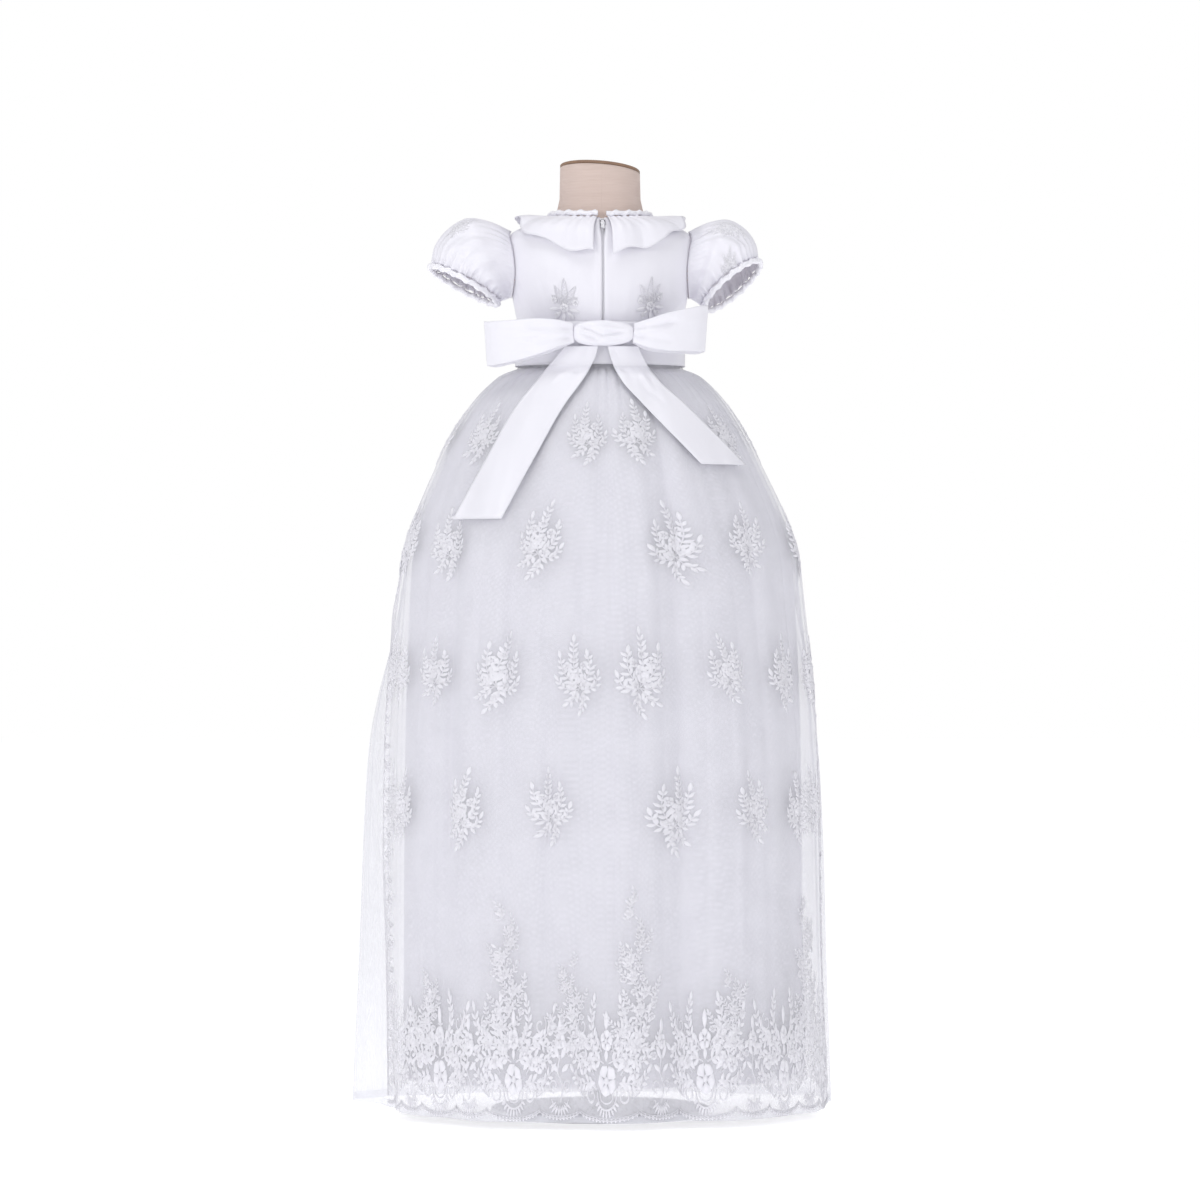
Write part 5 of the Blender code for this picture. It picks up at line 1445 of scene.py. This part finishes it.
def side_border(stitching, surface, edge_turn, side, rng):
    """The border up one open edge of the lace."""
    heights = np.linspace(0.672, 0.0175, 420)
    turns = edge_turn(heights) * side
    for inset, width, rise in ((0.3, 1.0, 0.9), (2.4, 0.9, 0.7)):
        chart_step = 0.33
        places = np.stack([turns - side * (inset + width * share) * chart_step for share in (0, 0.5, 1)], 1)
        out = np.array([[0.0002, rise * 0.001, 0.0002]])
        grid = surface.at(places, heights[:, None] + 0 * places, out + 0 * places)
        stitching.add(grid if side < 0 else grid[:, ::-1])
    height = 0.034
    place = 0
    while height < 0.655:
        size = 1.0 if height < 0.42 else 0.8
        chart = Chart(surface, side * float(edge_turn(height)), height, 0, size, mirror=side > 0)
        stitching.scroll(chart, 7.0, 0, 4.6, 200 if place % 2 else 20, 1.1, 1.0)
        stitching.leaf(chart, 4.0, 6, 30, 8.5, 3.6, bend=0.1)
        stitching.leaf(chart, 4.5, -6, 140, 8.0, 3.4, bend=-0.1)
        stitching.leaf(chart, 10, 5, 65 + rng.uniform(-12, 12), 7.5, 3.2)
        if place % 2 == 0:
            stitching.flower(chart, 13.0, -2.0, 4.8)
            stitching.leaf(chart, 17, 2, 70, 7.0, 3.0)
        else:
            stitching.hatched(chart, 9.0, -3, 100, 11.0, 4.6, -0.1)
        height += 0.0205 * size
        place += 1


def embroider(lace_sheet):
    edge_turn = curves_of(LACE)[1]
    sprays = Stitching()
    for side, height, lean, size in SPRAYS:
        turn = float(lace_sheet.back_at(np.array(side), np.array(height)))
        spray(sprays, Chart(lace_sheet, turn, height, lean, size, mirror=side < 0))
    for turn, height, lean, size in SIDE_SPRAYS:
        spray(sprays, Chart(lace_sheet, turn, height, lean, size, mirror=turn < 0))
    made = [add_stitching("lace_sprays", sprays)]

    hem = Stitching()
    last_turn = float(edge_turn(0.012))
    edge_cords(hem, lace_sheet, last_turn)
    for place in range(-3, 4):
        turn = 26.25 * place
        chart = Chart(lace_sheet, turn, 0.0080)
        hem_unit(hem, chart, place % 2)
    for place in range(-3, 3):
        chart = Chart(lace_sheet, 13.125 + 26.25 * place, 0.0098)
        fan_unit(hem, chart)
    for side, top, size in TREES:
        turn = float(lace_sheet.back_at(np.array(side), np.array(0.14)))
        tree(hem, lace_sheet, turn, top, size, hem.rng)
    made.append(add_stitching("lace_hem_border", hem))

    borders = Stitching()
    for side in (-1, 1):
        side_border(borders, lace_sheet, edge_turn, side, borders.rng)
    made.append(add_stitching("lace_side_borders", borders))
    return made


def add_stitching(name, stitching, thread=THREAD):
    return add_piece(name, stitching.mesh(name), thread)


class TorsoCloth:
    """The bodice's outer side, read by turn and height."""

    chart_steps = (1.0, 0.002)

    def at(self, turn, height, out=0.0):
        height = np.asarray(height, float)
        return on_torso(height, turn, ease_at(height) + SATIN + SPRAY_LIFT + np.asarray(out, float))


class GridCloth:
    """A grid's outer side, read by column and by row counted upwards."""

    chart_steps = (2.0, 1.0)

    def __init__(self, grid):
        self.grid, self.out = grid, outward(grid, True)

    def at(self, column, row, out=0.0):
        column, row = np.broadcast_arrays(np.asarray(column, float), -np.asarray(row, float))
        rows, columns = self.grid.shape[:2]
        low, top = np.floor(column).astype(int), np.clip(np.floor(row).astype(int), 0, rows - 2)
        across, down = (column - low)[..., None], np.clip(row - top, 0, 1)[..., None]
        near, far = low % columns, (low + 1) % columns

        def read(table):
            upper = table[top, near] * (1 - across) + table[top, far] * across
            lower = table[top + 1, near] * (1 - across) + table[top + 1, far] * across
            return upper * (1 - down) + lower * down
        return read(self.grid) + read(self.out) * np.asarray(out, float)[..., None]


# panel, turn, height, lean, size of the sprays on the bodice
BODICE_SPRAYS = [
    ("back_panel_left", 26.0, 0.7440, -6, 0.80), ("back_panel_right", -33.0, 0.7460, 6, 0.80),
    ("front_panel", 158.0, 0.744, 8, 0.82), ("front_panel", -158.0, 0.745, -8, 0.82),
    ("front_panel", 180.0, 0.775, 0, 0.95),
]
# sleeve, place round it as a share, row from the armhole, lean, size
SLEEVE_SPRAYS = [
    ("left", 0.075, 22, 30, 0.50), ("left", 0.93, 30, -20, 0.50),
    ("right", 0.10, 18, 20, 0.50), ("right", 0.22, 40, -30, 0.46), ("right", 0.90, 28, 10, 0.5),
]


def embroider_panel(panel):
    """The sprays on one panel of the bodice."""
    stitching = Stitching()
    for name, turn, height, lean, size in BODICE_SPRAYS:
        if name == panel:
            leaf_fan(stitching, Chart(TorsoCloth(), turn, height, lean, size, mirror=turn < 0))
    return add_stitching(panel + "_sprays", stitching, LIT_BODICE_THREAD)


def embroider_sleeve(word, grid):
    stitching = Stitching()
    cloth = GridCloth(grid)
    for name, share, row, lean, size in SLEEVE_SPRAYS:
        if name == word:
            place = share if word == "right" else 1 - share
            spray(stitching, Chart(cloth, place * SLEEVE_COLUMNS, -row, lean, size))
    return add_stitching("sleeve_sprays_" + word, stitching, LIT_BODICE_THREAD)


# Stage, light and camera


def make_stage():
    mesh = bpy.data.meshes.new("floor")
    reach = 14.0
    corners = [(-reach, -reach, 0), (reach, -reach, 0), (reach, reach, 0), (-reach, reach, 0)]
    mesh.from_pydata(corners, [], [(0, 1, 2, 3)])
    floor = bpy.data.objects.new("floor", mesh)
    bpy.context.scene.collection.objects.link(floor)
    floor.location.z = -0.0005
    shader = Shader("pale_floor", roughness=0.9, base_color=(0.86, 0.86, 0.87, 1.0))
    shader.surface.inputs["Emission Color"].default_value = (1.0, 1.0, 1.0, 1.0)
    shader.surface.inputs["Emission Strength"].default_value = 0.62
    mesh.materials.append(shader.material)


def area_light(name, place, aim, size, power, colour=(1.0, 1.0, 1.0)):
    data = bpy.data.lights.new(name, "AREA")
    data.shape = "SQUARE"
    data.size = size
    data.energy = power
    data.color = colour
    lamp = bpy.data.objects.new(name, data)
    bpy.context.scene.collection.objects.link(lamp)
    lamp.location = place
    lamp.rotation_mode = "QUATERNION"
    lamp.rotation_quaternion = (Vector(aim) - Vector(place)).to_track_quat("-Z", "Y")


def make_light():
    world = bpy.data.worlds.new("studio")
    bpy.context.scene.world = world
    world.use_nodes = True
    nodes, links = world.node_tree.nodes, world.node_tree.links
    nodes.clear()
    seen, fill = nodes.new("ShaderNodeBackground"), nodes.new("ShaderNodeBackground")
    mix = nodes.new("ShaderNodeMixShader")
    rays, out = nodes.new("ShaderNodeLightPath"), nodes.new("ShaderNodeOutputWorld")
    seen.inputs["Color"].default_value = (1.0, 1.0, 1.0, 1.0)
    fill.inputs["Color"].default_value = (0.97, 0.98, 1.0, 1.0)
    fill.inputs["Strength"].default_value = 0.46
    links.new(rays.outputs["Is Camera Ray"], mix.inputs[0])
    links.new(fill.outputs[0], mix.inputs[1])
    links.new(seen.outputs[0], mix.inputs[2])
    links.new(mix.outputs[0], out.inputs[0])
    area_light("key_softbox", (3.0, 3.0, 1.9), (0, 0, 0.5), 1.6, 39.0)
    area_light("side_softbox", (-2.6, 2.4, 2.0), (0, 0, 0.55), 1.8, 21.0)
    area_light("top_softbox", (0.4, 0.6, 3.2), (0, 0, 0.6), 1.4, 23.0)


def make_camera():
    data = bpy.data.cameras.new("camera")
    data.lens = 170.0
    data.sensor_width = 36.0
    camera = bpy.data.objects.new("camera", data)
    bpy.context.scene.collection.objects.link(camera)
    turn = math.radians(177.6)
    camera.location = (5.2 * math.sin(turn), -5.2 * math.cos(turn), 0.472)
    aim = Vector((0.0, 0.0, 0.472))
    camera.rotation_mode = "QUATERNION"
    camera.rotation_quaternion = (aim - camera.location).to_track_quat("-Z", "Y")
    data.clip_end = 60.0
    bpy.context.scene.camera = camera


def main():
    make_stage()
    make_light()
    make_camera()
    bpy.context.scene.view_settings.view_transform = "Standard"
    make_form()
    make_bodice()
    make_zip()
    make_collar()
    make_sleeves()
    lining_sheet, tulle_sheet, lace_sheet = make_skirts()
    dress_skirts(lining_sheet, tulle_sheet, lace_sheet)
    make_sash()
    make_bow(lace_sheet)


main()
